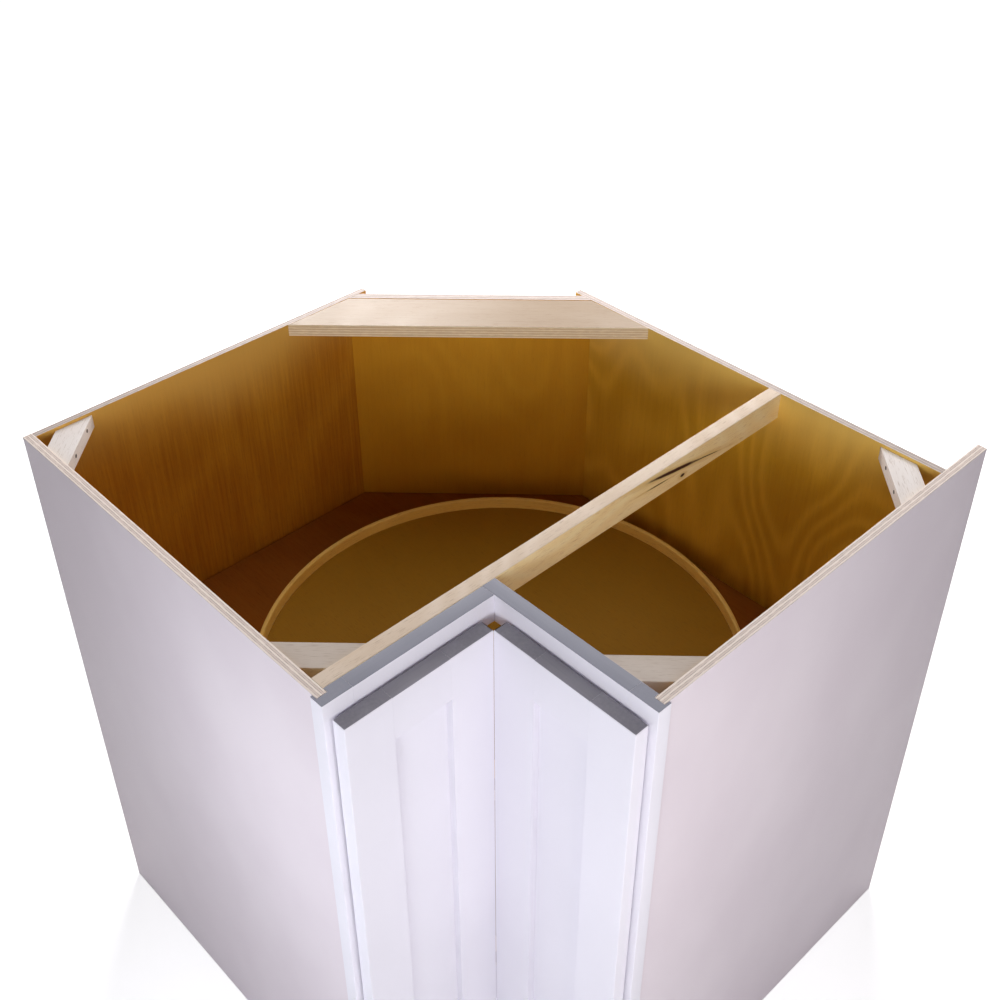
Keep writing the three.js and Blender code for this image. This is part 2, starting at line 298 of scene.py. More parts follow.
def wood_figure() -> bpy.types.NodeTree:
    """Grain of one board.

    A slow noise, stretched along the grain, is cut into contour bands by a sine, which gives the
    arches of sliced wood. A cloud, long fibres and short dark pores are added to it.

    Returns:
        The group: Board and strengths in; Tone, Pores and Height out.
    """
    knobs = {"Board": None, "Bands": 9.0, "Growth": 0.3, "Fibre": 0.4, "Cloud": 0.4}
    graph, source, sink = make_group("wood figure", knobs, ["Tone", "Pores", "Height"])
    board = source["Board"]
    slow = graph.noise(graph.stretch(board, (2.2, 5.2, 3.0), (3.1, 7.7, 0.4)), 1.0, 0.4)
    turns = graph.math("MULTIPLY", slow, source["Bands"])
    wave = graph.math("SINE", graph.math("MULTIPLY", turns, 2.0 * math.pi))
    band = graph.math("POWER", graph.math("MULTIPLY_ADD", wave, 0.5, 0.5), 1.6)
    cloud = graph.noise(graph.stretch(board, (2.4, 4.2, 3.0), (11.0, 2.0, 5.0)), 3.0, 0.55)
    fibre = graph.noise(graph.stretch(board, (9.0, 260.0, 260.0)), 3.0, 0.6)
    pore = graph.noise(graph.stretch(board, (70.0, 1500.0, 1500.0), (4.0, 9.0, 1.0)), 1.0, 0.5)
    pores = graph.smooth(pore, 0.60, 0.72)
    tone = graph.math("ADD", 0.5, graph.weigh(band, source["Growth"]))
    tone = graph.math("ADD", tone, graph.weigh(fibre, source["Fibre"]))
    tone = graph.math("ADD", tone, graph.weigh(cloud, source["Cloud"]))
    graph.feed(sink["Tone"], graph.clamp(tone))
    graph.feed(sink["Pores"], pores)
    graph.feed(sink["Height"], graph.math("MULTIPLY_ADD", pores, -0.6, fibre))
    return graph.tree


def ply_layers() -> bpy.types.NodeTree:
    """The layers that show on a plywood edge.

    The place through the thickness is counted in layers. Every second layer shows end grain, and
    a thin dark glue line lies where two layers meet; a slow noise makes the lines wander.

    Returns:
        The group: Board, Thickness and Plies in; Layer, Glue and Height out.
    """
    knobs = {"Board": None, "Thickness": 0.0127, "Plies": 7.0}
    graph, source, sink = make_group("ply layers", knobs, ["Layer", "Glue", "Height"])
    split = graph.add("ShaderNodeSeparateXYZ")
    graph.feed(split.inputs[0], source["Board"])
    wander = graph.noise(graph.stretch(source["Board"], (14.0, 14.0, 0.0)), 2.0)
    share = graph.math("ADD", graph.math("DIVIDE", split.outputs["Z"], source["Thickness"]), 0.5)
    share = graph.math("ADD", share, graph.weigh(wander, 0.03))
    count = graph.math("MULTIPLY", share, source["Plies"])
    parity = graph.math("MODULO", graph.math("FLOOR", count), 2.0)
    place = graph.math("FRACT", count)
    edge = graph.math("MULTIPLY", graph.math("ABSOLUTE", graph.math("SUBTRACT", place, 0.5)), 2.0)
    patch = graph.noise(graph.stretch(source["Board"], (90.0, 90.0, 260.0), (6.0, 1.0, 3.0)), 2.0)
    glue = graph.math("MULTIPLY", graph.smooth(edge, 0.72, 0.95), graph.smooth(patch, 0.3, 0.6))
    speck = graph.noise(graph.stretch(source["Board"], (420.0, 420.0, 2600.0)), 2.0)
    graph.feed(sink["Layer"], graph.clamp(graph.math("ADD", parity, graph.weigh(speck, 0.9))))
    graph.feed(sink["Glue"], glue)
    graph.feed(sink["Height"], graph.math("MULTIPLY_ADD", glue, -0.5, speck))
    return graph.tree


def sprayed_film() -> bpy.types.NodeTree:
    """A sprayed or pressed surface film.

    Fine noise gives the film's own ripple, and a broad one a slight change of tone.

    Returns:
        The group: Place and Ripple in; Tone, Sheen and Height out.
    """
    graph, source, sink = make_group("sprayed film", {"Place": None}, ["Tone", "Sheen", "Height"])
    ripple = graph.noise(graph.stretch(source["Place"], (520.0, 520.0, 520.0)), 2.0)
    broad = graph.noise(graph.stretch(source["Place"], (5.0, 5.0, 3.5), (2.0, 4.0, 8.0)), 3.0)
    smear = graph.noise(graph.stretch(source["Place"], (28.0, 28.0, 9.0)), 3.0)
    graph.feed(sink["Tone"], broad)
    graph.feed(sink["Sheen"], smear)
    graph.feed(sink["Height"], ripple)
    return graph.tree


GROUPS: dict[str, bpy.types.NodeTree] = {}
MATERIALS: dict[str, bpy.types.Material] = {}


def group(graph: Graph, maker: Maker) -> Node:
    """Places a shared group in a material, and makes the group the first time.

    Args:
        graph: the material's graph.
        maker: the function that makes the group.

    Returns:
        The group node.
    """
    if maker.__name__ not in GROUPS:
        GROUPS[maker.__name__] = maker()
    return graph.add("ShaderNodeGroup", node_tree=GROUPS[maker.__name__])


# ---- finishes ----------------------------------------------------------------


@dataclass(frozen=True)
class Finish:
    """What every finish shares: a name, and one material made the first time it is asked for."""

    name: str

    def material(self) -> bpy.types.Material:
        """The finish's material, made once.

        Returns:
            The material.
        """
        if self.name in MATERIALS:
            return MATERIALS[self.name]
        made = MATERIALS[self.name] = bpy.data.materials.new(self.name)
        made.use_nodes = True
        graph = Graph(made.node_tree)
        shader = made.node_tree.nodes["Principled BSDF"]
        self.dress(graph, shader)
        return made

    def dress(self, graph: Graph, shader: Node) -> None:
        """Wires the finish's pattern into the shader; each kind of finish has its own.

        Args:
            graph: the material's graph.
            shader: its Principled BSDF.
        """
        raise NotImplementedError

    def coordinates(self, graph: Graph) -> NodeSocket:
        """The board coordinates' socket."""
        return graph.add("ShaderNodeAttribute", attribute_name=BOARD).outputs["Vector"]

    def bump(self, graph: Graph, shader: Node, height: NodeSocket, depth: float, strength: float) -> None:
        """Feeds a height into the shader's normal.

        Args:
            graph: the material's graph.
            shader: its Principled BSDF.
            height: the height's socket.
            depth: the height of one unit, in metres.
            strength: how far the normal leans.
        """
        node = graph.add("ShaderNodeBump")
        node.inputs["Strength"].default_value = strength
        node.inputs["Distance"].default_value = depth
        graph.feed(node.inputs["Height"], height)
        graph.feed(shader.inputs["Normal"], node.outputs[0])


@dataclass(frozen=True)
class Paint(Finish):
    """Sprayed paint or a pressed white skin on wood."""

    colour: Colour
    shade: Colour
    rough: float = 0.42
    ripple: float = 0.10
    gloss: float = 0.35
    board_grain: float = 0.0

    def dress(self, graph: Graph, shader: Node) -> None:
        """Paint with a slight change of tone, and where it is thin the grain below it."""
        film = group(graph, sprayed_film)
        place = graph.add("ShaderNodeTexCoord").outputs["Object"]
        graph.feed(film.inputs["Place"], place)
        share = graph.smooth(film.outputs["Tone"], 0.25, 0.75)
        height = film.outputs["Height"]
        if self.board_grain:
            figure = group(graph, wood_figure)
            graph.feed(figure.inputs["Board"], self.coordinates(graph))
            figure.inputs["Fibre"].default_value = 1.6
            grain = graph.weigh(figure.outputs["Tone"], self.board_grain)
            share = graph.clamp(graph.math("ADD", share, grain))
            height = graph.math("MULTIPLY_ADD", figure.outputs["Height"], self.board_grain, height)
        graph.feed(shader.inputs["Base Color"], graph.mix(share, self.shade, self.colour))
        sheen = graph.math("SUBTRACT", film.outputs["Sheen"], 0.5)
        rough = graph.math("MULTIPLY_ADD", sheen, 0.12, self.rough)
        graph.feed(shader.inputs["Roughness"], rough)
        shader.inputs["Specular IOR Level"].default_value = self.gloss
        self.bump(graph, shader, height, 0.0002, self.ripple)


@dataclass(frozen=True)
class Knot:
    """A dark knot or split on a board, at (along, across) from the board's low end.

    Its half sizes are (along, across), and slope is how far it climbs across the board for each
    metre along it.
    """

    place: tuple[float, float]
    half: tuple[float, float]
    slope: float = 0.0


@dataclass(frozen=True)
class Timber(Finish):
    """A clear-finished wood face."""

    light: Colour
    dark: Colour
    pore: Colour
    bands: float = 9.0
    growth: float = 0.30
    fibre: float = 0.45
    cloud: float = 0.6
    rough: float = 0.45
    gloss: float = 0.25
    relief: float = 0.35
    pores: float = 0.5
    painted_top_light: float = 0.0
    painted_top_light_colour: Colour = (0.60, 0.45, 0.22)
    knots: tuple[Knot, ...] = ()
    knot_colour: Colour = (0.02, 0.01, 0.005)
    halo_colour: Colour = (0.55, 0.36, 0.12)

    def dress(self, graph: Graph, shader: Node) -> None:
        """Light and dark wood mixed by the grain's tone, with pores and any knots on it."""
        board = self.coordinates(graph)
        figure = group(graph, wood_figure)
        graph.feed(figure.inputs["Board"], board)
        for name in ("bands", "growth", "fibre", "cloud"):
            figure.inputs[name.capitalize()].default_value = getattr(self, name)
        colour = graph.mix(figure.outputs["Tone"], self.dark, self.light)
        colour = graph.mix(graph.math("MULTIPLY", figure.outputs["Pores"], self.pores), colour, self.pore)
        height = figure.outputs["Height"]
        # painted light: the wood turns paler towards the top of the wall
        if self.painted_top_light:
            colour = graph.mix(self.painted_top_light_share(graph), colour, self.painted_top_light_colour)
        if self.knots:
            reach = self.knot_reach(graph, board)
            halo = graph.math("MULTIPLY", graph.smooth(reach, 3.2, 1.2), 0.55)
            mask = graph.smooth(reach, 1.25, 0.6)
            colour = graph.mix(halo, colour, self.halo_colour)
            colour = graph.mix(mask, colour, self.knot_colour)
            height = graph.math("MULTIPLY_ADD", mask, -3.0, height)
        graph.feed(shader.inputs["Base Color"], colour)
        rough = graph.math("MULTIPLY_ADD", figure.outputs["Tone"], -0.10, self.rough + 0.05)
        graph.feed(shader.inputs["Roughness"], rough)
        shader.inputs["Specular IOR Level"].default_value = self.gloss
        self.bump(graph, shader, height, 0.0003, self.relief)

    def painted_top_light_share(self, graph: Graph) -> NodeSocket:
        """How much painted light lies on the wood towards the open top: a paler colour that stands in for the
        light falling on the upper band of the walls.

        A smooth step of the height, whose start a broad noise moves up and down.

        Args:
            graph: the material's graph.

        Returns:
            The share of the painted light colour.
        """
        place = graph.add("ShaderNodeTexCoord").outputs["Object"]
        split = graph.add("ShaderNodeSeparateXYZ")
        graph.feed(split.inputs[0], place)
        broad = graph.noise(graph.stretch(place, (4.0, 4.0, 4.0)), 2.0)
        level = graph.math("ADD", split.outputs["Z"], graph.weigh(broad, 0.12))
        return graph.math("MULTIPLY", graph.smooth(level, PAINTED_LIGHT_START, PAINTED_LIGHT_END), self.painted_top_light)

    def knot_reach(self, graph: Graph, board: NodeSocket) -> NodeSocket:
        """The distance to the nearest knot, in that knot's own half sizes, made ragged by noise.

        Args:
            graph: the material's graph.
            board: the board coordinates' socket.

        Returns:
            The distance's socket, below 1 on a knot.
        """
        split = graph.add("ShaderNodeSeparateXYZ")
        graph.feed(split.inputs[0], board)
        nearest = 9.0
        for knot in self.knots:
            run = graph.math("SUBTRACT", split.outputs["X"], knot.place[0])
            rise = graph.math("SUBTRACT", split.outputs["Y"], knot.place[1])
            rise = graph.math("MULTIPLY_ADD", run, -knot.slope, rise)
            along = graph.math("DIVIDE", run, knot.half[0])
            across = graph.math("DIVIDE", rise, knot.half[1])
            square = graph.math("MULTIPLY_ADD", along, along, graph.math("MULTIPLY", across, across))
            nearest = graph.math("MINIMUM", nearest, graph.math("SQRT", square))
        ragged = graph.noise(graph.stretch(board, (60.0, 260.0, 260.0)), 3.0, 0.6)
        return graph.math("ADD", nearest, graph.weigh(ragged, 0.7))


@dataclass(frozen=True)
class PlyEdge(Finish):
    """A sawn plywood edge with its layers showing."""

    light: Colour
    dark: Colour
    glue: Colour
    thickness: float
    plies: int
    rough: float = 0.6

    def dress(self, graph: Graph, shader: Node) -> None:
        """Light and end-grain layers with glue lines between them."""
        layers = group(graph, ply_layers)
        graph.feed(layers.inputs["Board"], self.coordinates(graph))
        layers.inputs["Thickness"].default_value = self.thickness
        layers.inputs["Plies"].default_value = float(self.plies)
        colour = graph.mix(layers.outputs["Layer"], self.light, self.dark)
        colour = graph.mix(graph.math("MULTIPLY", layers.outputs["Glue"], 0.8), colour, self.glue)
        graph.feed(shader.inputs["Base Color"], colour)
        rough = graph.math("MULTIPLY_ADD", layers.outputs["Layer"], 0.1, self.rough)
        graph.feed(shader.inputs["Roughness"], rough)
        self.bump(graph, shader, layers.outputs["Height"], 0.0004, 0.5)


@dataclass(frozen=True)
class Metal(Finish):
    """Pressed steel with a zinc skin."""

    colour: Colour
    spangle: Colour
    rough: float = 0.32

    def dress(self, graph: Graph, shader: Node) -> None:
        """Faint spangle and drawing marks in the zinc."""
        place = graph.add("ShaderNodeTexCoord").outputs["Object"]
        cells = graph.add("ShaderNodeTexVoronoi")
        graph.feed(cells.inputs["Vector"], graph.stretch(place, (330.0, 330.0, 330.0)))
        cells.inputs["Scale"].default_value = 1.0
        scratch = graph.noise(graph.stretch(place, (90.0, 90.0, 1800.0)), 3.0, 0.6)
        colour = graph.mix(cells.outputs["Distance"], self.colour, self.spangle)
        graph.feed(shader.inputs["Base Color"], colour)
        shader.inputs["Metallic"].default_value = 1.0
        graph.feed(shader.inputs["Roughness"], graph.math("MULTIPLY_ADD", scratch, 0.2, self.rough - 0.1))
        self.bump(graph, shader, scratch, 0.0001, 0.25)


@dataclass(frozen=True)
class SoftPlastic(Finish):
    """Clear soft plastic, a little cloudy."""

    colour: Colour

    def dress(self, graph: Graph, shader: Node) -> None:
        """A cloudy dot that lets some light through."""
        place = graph.add("ShaderNodeTexCoord").outputs["Object"]
        cloud = graph.noise(graph.stretch(place, (400.0, 400.0, 400.0)), 2.0)
        graph.feed(shader.inputs["Base Color"], graph.mix(cloud, self.colour, (0.95, 0.95, 0.95)))
        graph.feed(shader.inputs["Roughness"], graph.math("MULTIPLY_ADD", cloud, 0.2, 0.1))
        shader.inputs["Transmission Weight"].default_value = 0.5
        shader.inputs["IOR"].default_value = 1.45


FRONT_PAINT = Paint(
    "front_paint", srgb(237, 234, 243), srgb(232, 229, 238), rough=0.5, ripple=0.06, gloss=0.2
)
# painted shade: the white frame's up-facing tops are given a grey colour, with the grain showing through
FRAME_TOP_SHADE = Paint("frame_top_painted_shade", srgb(140, 141, 155), srgb(128, 129, 143), rough=0.55, board_grain=0.5)
# painted shade: the doors' up-facing top edges are given a darker grey, with the grain showing through
DOOR_TOP_SHADE = Paint("door_top_painted_shade", srgb(158, 155, 164), srgb(134, 131, 140), rough=0.6, board_grain=0.6)
END_SKIN = Paint(
    "end_panel_film", srgb(233, 223, 230), srgb(226, 215, 223), rough=0.5, ripple=0.05, gloss=0.08
)
# the left and right wall veneers carry painted light, paler towards the top
LEFT_VENEER = Timber(
    "left_wall_veneer", srgb(214, 154, 46), srgb(178, 114, 26), srgb(132, 72, 18), bands=7.0, growth=0.25,
    fibre=1.4, cloud=0.9, rough=0.42, painted_top_light=0.9, painted_top_light_colour=(0.80, 0.47, 0.11), pores=0.35,
)
BACK_VENEER = Timber(
    "back_wall_veneer", srgb(222, 168, 48), srgb(192, 134, 26), srgb(150, 88, 28), bands=12.0, growth=0.14,
    fibre=0.3, cloud=1.1, rough=0.42, pores=0.15,
)
RIGHT_VENEER = Timber(
    "right_wall_veneer", srgb(234, 186, 62), srgb(200, 150, 36), srgb(140, 80, 24), bands=17.0, growth=0.46,
    fibre=0.5, cloud=0.7, rough=0.42, painted_top_light=0.8, painted_top_light_colour=(0.93, 0.66, 0.19), pores=0.2,
)
PANEL_VENEER = Timber(
    "panel_inside_veneer", srgb(216, 182, 126), srgb(194, 154, 98), srgb(150, 108, 58), bands=8.0,
    growth=0.16, fibre=0.6, cloud=0.6, rough=0.45,
)
OUTSIDE_VENEER = Timber(
    "outside_veneer", srgb(214, 188, 148), srgb(194, 160, 114), srgb(158, 120, 78), cloud=0.7, rough=0.55
)
SHELF_VENEER = Timber(
    "shelf_veneer", srgb(164, 104, 40), srgb(126, 68, 24), srgb(104, 54, 16), growth=0.15, cloud=0.7,
    rough=0.55, gloss=0.0,
)
STRETCHER_VENEER = Timber(
    "stretcher_veneer", srgb(170, 150, 127), srgb(154, 130, 104), srgb(134, 104, 76), growth=0.15, cloud=0.5,
    rough=0.42, gloss=0.2,
)
# lit and shaded copies of one softwood: the back braces carry painted light and the front braces painted
# shade
BRACE_LIT_COPY = Timber(
    "pale_softwood", srgb(246, 240, 237), srgb(232, 222, 216), srgb(170, 146, 126), bands=14.0, growth=0.3,
    cloud=0.3, rough=0.6,
)
FRONT_BRACE_SHADED_COPY = Timber(
    "front_brace_painted_shade", srgb(212, 200, 190), srgb(192, 176, 162), srgb(158, 134, 114), bands=14.0,
    growth=0.3, cloud=0.3, rough=0.6,
)
# lit and shaded copies of the beam's softwood: its sides carry painted light and its top a darker copy
BEAM_TOP_SHADED_COPY = Timber(
    "beam_top_shaded_copy", srgb(234, 216, 198), srgb(214, 190, 164), srgb(168, 138, 108), bands=16.0, growth=0.3,
    cloud=0.3, rough=0.6,
)
TRAY_VENEER = Timber(
    "tray_floor_veneer", srgb(168, 124, 35), srgb(152, 109, 25), srgb(118, 80, 16), growth=0.1, fibre=0.3,
    cloud=0.4, rough=0.5, gloss=0.1,
)
RIM_VENEER = Timber(
    "bent_rim_veneer", srgb(252, 218, 130), srgb(238, 196, 104), srgb(176, 128, 60), growth=0.2, cloud=0.5,
    rough=0.4,
)
STEEL = Metal("plated_steel", srgb(176, 178, 182), srgb(140, 144, 149))
# dark steel for the nail heads, and painted shade for the dark disc in each hinge cup's hollow
NAIL_STEEL_AND_CUP_SHADE = Metal("nail_steel_and_cup_shade", srgb(92, 88, 84), srgb(60, 57, 54), rough=0.5)
CLEAR_DOT = SoftPlastic("clear_dot", srgb(228, 232, 236))


class EdgeTone(Enum):
    """The light layer, dark layer and glue line of a plywood edge."""

    WARM = (srgb(250, 234, 204), srgb(230, 204, 164), srgb(160, 120, 80))
    PALE = (srgb(244, 230, 220), srgb(222, 204, 194), srgb(122, 102, 96))
    DULL = (srgb(208, 194, 186), srgb(182, 166, 158), srgb(112, 94, 88))


def ply_edge(name: str, thickness: float, plies: int, tone: EdgeTone = EdgeTone.WARM) -> PlyEdge:
    """The edge finish of one thickness of plywood.

    Args:
        name: the finish's name.
        thickness: the board's thickness, in metres.
        plies: how many layers it has.
        tone: the colours of its layers.

    Returns:
        The finish.
    """
    return PlyEdge(name, *tone.value, thickness, plies)


# ---- surfaces ----------------------------------------------------------------


@dataclass
class Surface:
    """A closed surface in the making."""

    points: np.ndarray
    quads: np.ndarray
    caps: list[np.ndarray]
    board: np.ndarray

    def faces(self) -> list[list[int]]:
        """All faces, turned so that the enclosed volume is positive.

        The volume is a sixth of the sum of the triple products over a fan of each face.

        Returns:
            The faces' vertex numbers.
        """
        faces = [*self.quads.tolist(), *[cap.tolist() for cap in self.caps]]
        p = self.points
        q = self.quads
        volume = 0.0
        if len(q):
            for b, c in ((1, 2), (2, 3)):
                volume += np.einsum("ij,ij->", p[q[:, 0]], np.cross(p[q[:, b]], p[q[:, c]]))
        for cap in self.caps:
            fan = np.cross(p[cap[1:-1]], p[cap[2:]])
            volume += float(np.sum(fan @ p[cap[0]]))
        return faces if volume > 0 else [face[::-1] for face in faces]


def joined(surfaces: list[Surface]) -> Surface:
    """Several closed surfaces as one mesh.

    Args:
        surfaces: the surfaces, which don't have to touch.

    Returns:
        One surface with all their faces, each turned outwards.
    """
    points, caps, start = [], [], 0
    for surface in surfaces:
        points.append(surface.points)
        caps += [np.array(face) + start for face in surface.faces()]
        start += len(surface.points)
    board = np.concatenate([surface.board for surface in surfaces])
    return Surface(np.concatenate(points), np.zeros((0, 4), int), caps, board)


@dataclass
class Placing:
    """Where a surface's own directions u, v and w lie in the row frame."""

    u: np.ndarray
    v: np.ndarray
    w: np.ndarray
    origin: np.ndarray = field(default_factory=lambda: np.zeros(3))

    def world(self, local: np.ndarray) -> np.ndarray:
        """Points in the row frame: origin + u x + v y + w z."""
        return self.origin + local @ np.stack([self.u, self.v, self.w])


def flat_placing(u: Axis, v: Axis, w: Axis) -> Placing:
    """A placing along the row frame's own directions."""
    return Placing(u.unit, v.unit, w.unit)


LEVEL = flat_placing(Axis.X, Axis.Y, Axis.Z)


def mitres(outline: np.ndarray, share: np.ndarray | None = None) -> np.ndarray:
    """How each corner of a closed outline moves when its edges move inwards.

    With the unit inward normals n and m of the two edges at a corner, their dot product d and
    their shares a and b, the move is ((a - b d) n + (b - a d) m) / (1 - d d). Where the edges are
    nearly in line, it is the mean share times (n + m) / (1 + d).

    Args:
        outline: the corners, anticlockwise, as an (n, 2) array.
        share: how far the edge after each corner moves; by default 1 everywhere.

    Returns:
        The moves as an (n, 2) array.
    """
    after = np.ones(len(outline)) if share is None else share
    before = np.roll(after, 1)
    ahead = np.roll(outline, -1, axis=0) - outline
    ahead /= np.linalg.norm(ahead, axis=1, keepdims=True)
    m = np.stack([-ahead[:, 1], ahead[:, 0]], axis=1)
    n = np.roll(m, 1, axis=0)
    d = np.sum(n * m, axis=1)
    straight = np.abs(d) > 0.97
    bend = np.where(straight, 1.0, 1.0 - d * d)
    own = np.where(straight, (before + after) / 2 / (1.0 + np.maximum(d, -0.9)), (before - after * d) / bend)
    other = np.where(straight, own, (after - before * d) / bend)
    return own[:, None] * n + other[:, None] * m


def anticlockwise(outline: np.ndarray) -> np.ndarray:
    """Turns an outline anticlockwise, by the sign of its shoelace area.

    Args:
        outline: the corners as an (n, 2) array, either way round.

    Returns:
        The corners, anticlockwise.
    """
    x, y = outline[:, 0], outline[:, 1]
    area = np.sum(x * np.roll(y, -1) - np.roll(x, -1) * y)
    return outline if area > 0 else outline[::-1]


def facing(outline: np.ndarray, towards: tuple[float, float]) -> np.ndarray:
    """Which edges of an anticlockwise outline look one way.

    Args:
        outline: the corners as an (n, 2) array.
        towards: the unit direction.

    Returns:
        True for each such edge.
    """
    ahead = np.roll(outline, -1, axis=0) - outline
    out = np.stack([ahead[:, 1], -ahead[:, 0]], axis=1) / np.linalg.norm(ahead, axis=1, keepdims=True)
    return out @ np.asarray(towards, float) > 0.99


def eased(outline: np.ndarray, radii: np.ndarray, steps: int = 4) -> np.ndarray:
    """Rounds the corners of an outline.

    Each corner becomes an arc that touches both edges at radius times the tangent of half the
    turn. Its points are a quadratic blend of the two touching points and the corner, pushed
    out to the circle.

    Args:
        outline: the corners as an (n, 2) array.
        radii: the radius at each corner; 0 keeps it sharp.
        steps: how many steps each arc has.

    Returns:
        The finer outline.
    """
    back = np.roll(outline, 1, axis=0) - outline
    ahead = np.roll(outline, -1, axis=0) - outline
    back /= np.linalg.norm(back, axis=1, keepdims=True)
    ahead /= np.linalg.norm(ahead, axis=1, keepdims=True)
    half = np.arccos(np.clip(np.sum(back * ahead, axis=1), -1, 1)) / 2
    reach = radii / np.tan(half)
    middle = back + ahead
    middle /= np.linalg.norm(middle, axis=1, keepdims=True)
    centre = outline + middle * (radii / np.sin(half))[:, None]
    start = outline + back * reach[:, None] - centre
    end = outline + ahead * reach[:, None] - centre
    share = np.linspace(0, 1, steps + 1)[None, :, None]
    ray = start[:, None] * (1 - share) + end[:, None] * share
    length = np.maximum(np.linalg.norm(ray, axis=2, keepdims=True), 1e-12)
    arc = centre[:, None] + ray / length * radii[:, None, None]
    rows = [arc[i] if radii[i] > 0 else outline[i][None] for i in range(len(outline))]
    return np.concatenate(rows)


def carried(
    outline: np.ndarray,
    span: tuple[float, float],
    placing: Placing,
    grain: tuple[int, int, int],
    arrises: tuple[float, float],
    seed: float = 0.0,
    share: np.ndarray | None = None,
) -> Surface:
    """An outline carried along w, with its two end arrises rounded.

    Ring k of the surface is the outline moved in by a (1 - sin t) at the height a (1 - cos t)
    from its end, where t runs over a quarter turn and a is the arris radius.

    Args:
        outline: the section's corners in (u, v).
        span: the low and the high end along w.
        placing: where u, v and w lie.
        grain: which of u, v and w (0, 1, 2) runs along, across and through the board.
        arrises: the arris radius at the low and at the high end; 0 keeps the end sharp.
        seed: moves the wood pattern, so that two boards differ.
        share: how much of the end arris each edge of an anticlockwise outline has.

    Returns:
        The closed surface.
    """
    outline = anticlockwise(outline)
    inward = mitres(outline, share)
    quarter = np.linspace(0, math.pi / 2, ARRIS_STEPS + 1)
    heights, insets = [], []
    for end, sign, arris in ((span[0], 1.0, arrises[0]), (span[1], -1.0, arrises[1])):
        turn = quarter if arris > 0 else np.array([math.pi / 2])
        height = end + sign * arris * (1 - np.cos(turn)) if arris > 0 else np.array([end])
        inset = arris * (1 - np.sin(turn))
        heights.append(height if sign > 0 else height[::-1])
        insets.append(inset if sign > 0 else inset[::-1])
    height, inset = np.concatenate(heights), np.concatenate(insets)
    rings, count = len(height), len(outline)
    flat = outline[None] + inward[None] * inset[:, None, None]
    local = np.concatenate([flat, np.broadcast_to(height[:, None, None], (rings, count, 1))], axis=2)
    local = local.reshape(-1, 3)
    middle = (local.min(0) + local.max(0)) / 2
    middle[grain[0]] = local[:, grain[0]].min() - 1.7 * seed
    middle[grain[1]] = local[:, grain[1]].min() - 0.9 * seed
    board = (local - middle)[:, list(grain)]
    k, i = np.meshgrid(np.arange(rings - 1), np.arange(count), indexing="ij")
    j = (i + 1) % count
    quads = np.stack([k * count + i, k * count + j, (k + 1) * count + j, (k + 1) * count + i], axis=-1)
    last = (rings - 1) * count
    caps = [np.arange(count)[::-1], np.arange(last, last + count)]
    return Surface(placing.world(local), quads.reshape(-1, 4), caps, board)


def turned(
    profile: np.ndarray, centre: Point, axis: np.ndarray, steps: int = 48, looped: bool = False
) -> Surface:
    """A profile of (radius, height) turned about an axis.

    Point (i, j) is centre + axis h_j + r_j (a cos t_i + b sin t_i), with a and b at right angles
    to the axis.

    Args:
        profile: (radius, height) rows; an open profile starts and ends on the axis.
        centre: the point at height 0.
        axis: the unit axis.
        steps: how many steps the turn has.
        looped: true if the profile is a closed loop, as of a ring.

    Returns:
        The closed surface.
    """
    axis = np.asarray(axis, float)
    side = np.eye(3)[int(np.argmin(np.abs(axis)))]
    a = np.cross(axis, side)
    a /= np.linalg.norm(a)
    b = np.cross(axis, a)
    t = np.linspace(0, 2 * math.pi, steps, endpoint=False)
    circle = np.cos(t)[:, None] * a + np.sin(t)[:, None] * b
    points = np.asarray(centre) + axis * profile[None, :, 1:2] + circle[:, None] * profile[None, :, 0:1]
    rows = len(profile)
    i, j = np.meshgrid(np.arange(steps), np.arange(rows if looped else rows - 1), indexing="ij")
    after, above = (i + 1) % steps, (j + 1) % rows
    quads = np.stack([i * rows + j, after * rows + j, after * rows + above, i * rows + above], axis=-1)
    flat = points.reshape(-1, 3)
    return Surface(flat, quads.reshape(-1, 4), [], flat - np.asarray(centre))


def wound(path: np.ndarray, section: np.ndarray, base: float) -> Surface:
    """A section carried round a closed path that lies level.

    Point (i, j) is path_i + normal_i n_j at the height base + z_j, where the normal is the
    outward mitre of the path.

    Args:
        path: the path's points, anticlockwise, as an (n, 2) array.
        section: the section's (outward, up) rows, a closed loop.
        base: the height of the section's zero.

    Returns:
        The closed band.
    """
    outward = -mitres(path)
    count, rows = len(path), len(section)
    flat = path[:, None] + outward[:, None] * section[None, :, 0:1]
    up = np.broadcast_to(base + section[None, :, 1:2], (count, rows, 1))
    points = np.concatenate([flat, up], axis=2).reshape(-1, 3)
    length = np.cumsum(np.linalg.norm(path - np.roll(path, 1, axis=0), axis=1))
    board = np.stack(np.broadcast_arrays(length[:, None], section[None, :, 1], section[None, :, 0]), axis=-1)
    i, j = np.meshgrid(np.arange(count), np.arange(rows), indexing="ij")
    after, above = (i + 1) % count, (j + 1) % rows
    quads = np.stack([i * rows + j, after * rows + j, after * rows + above, i * rows + above], axis=-1)
    return Surface(points, quads.reshape(-1, 4), [], board.reshape(-1, 3))


@dataclass(frozen=True)
class Skin:
    """A finish on the faces that look one way; without a direction it goes on every face."""

    finish: Finish
    towards: Point | None = None
    reach: float = 0.93


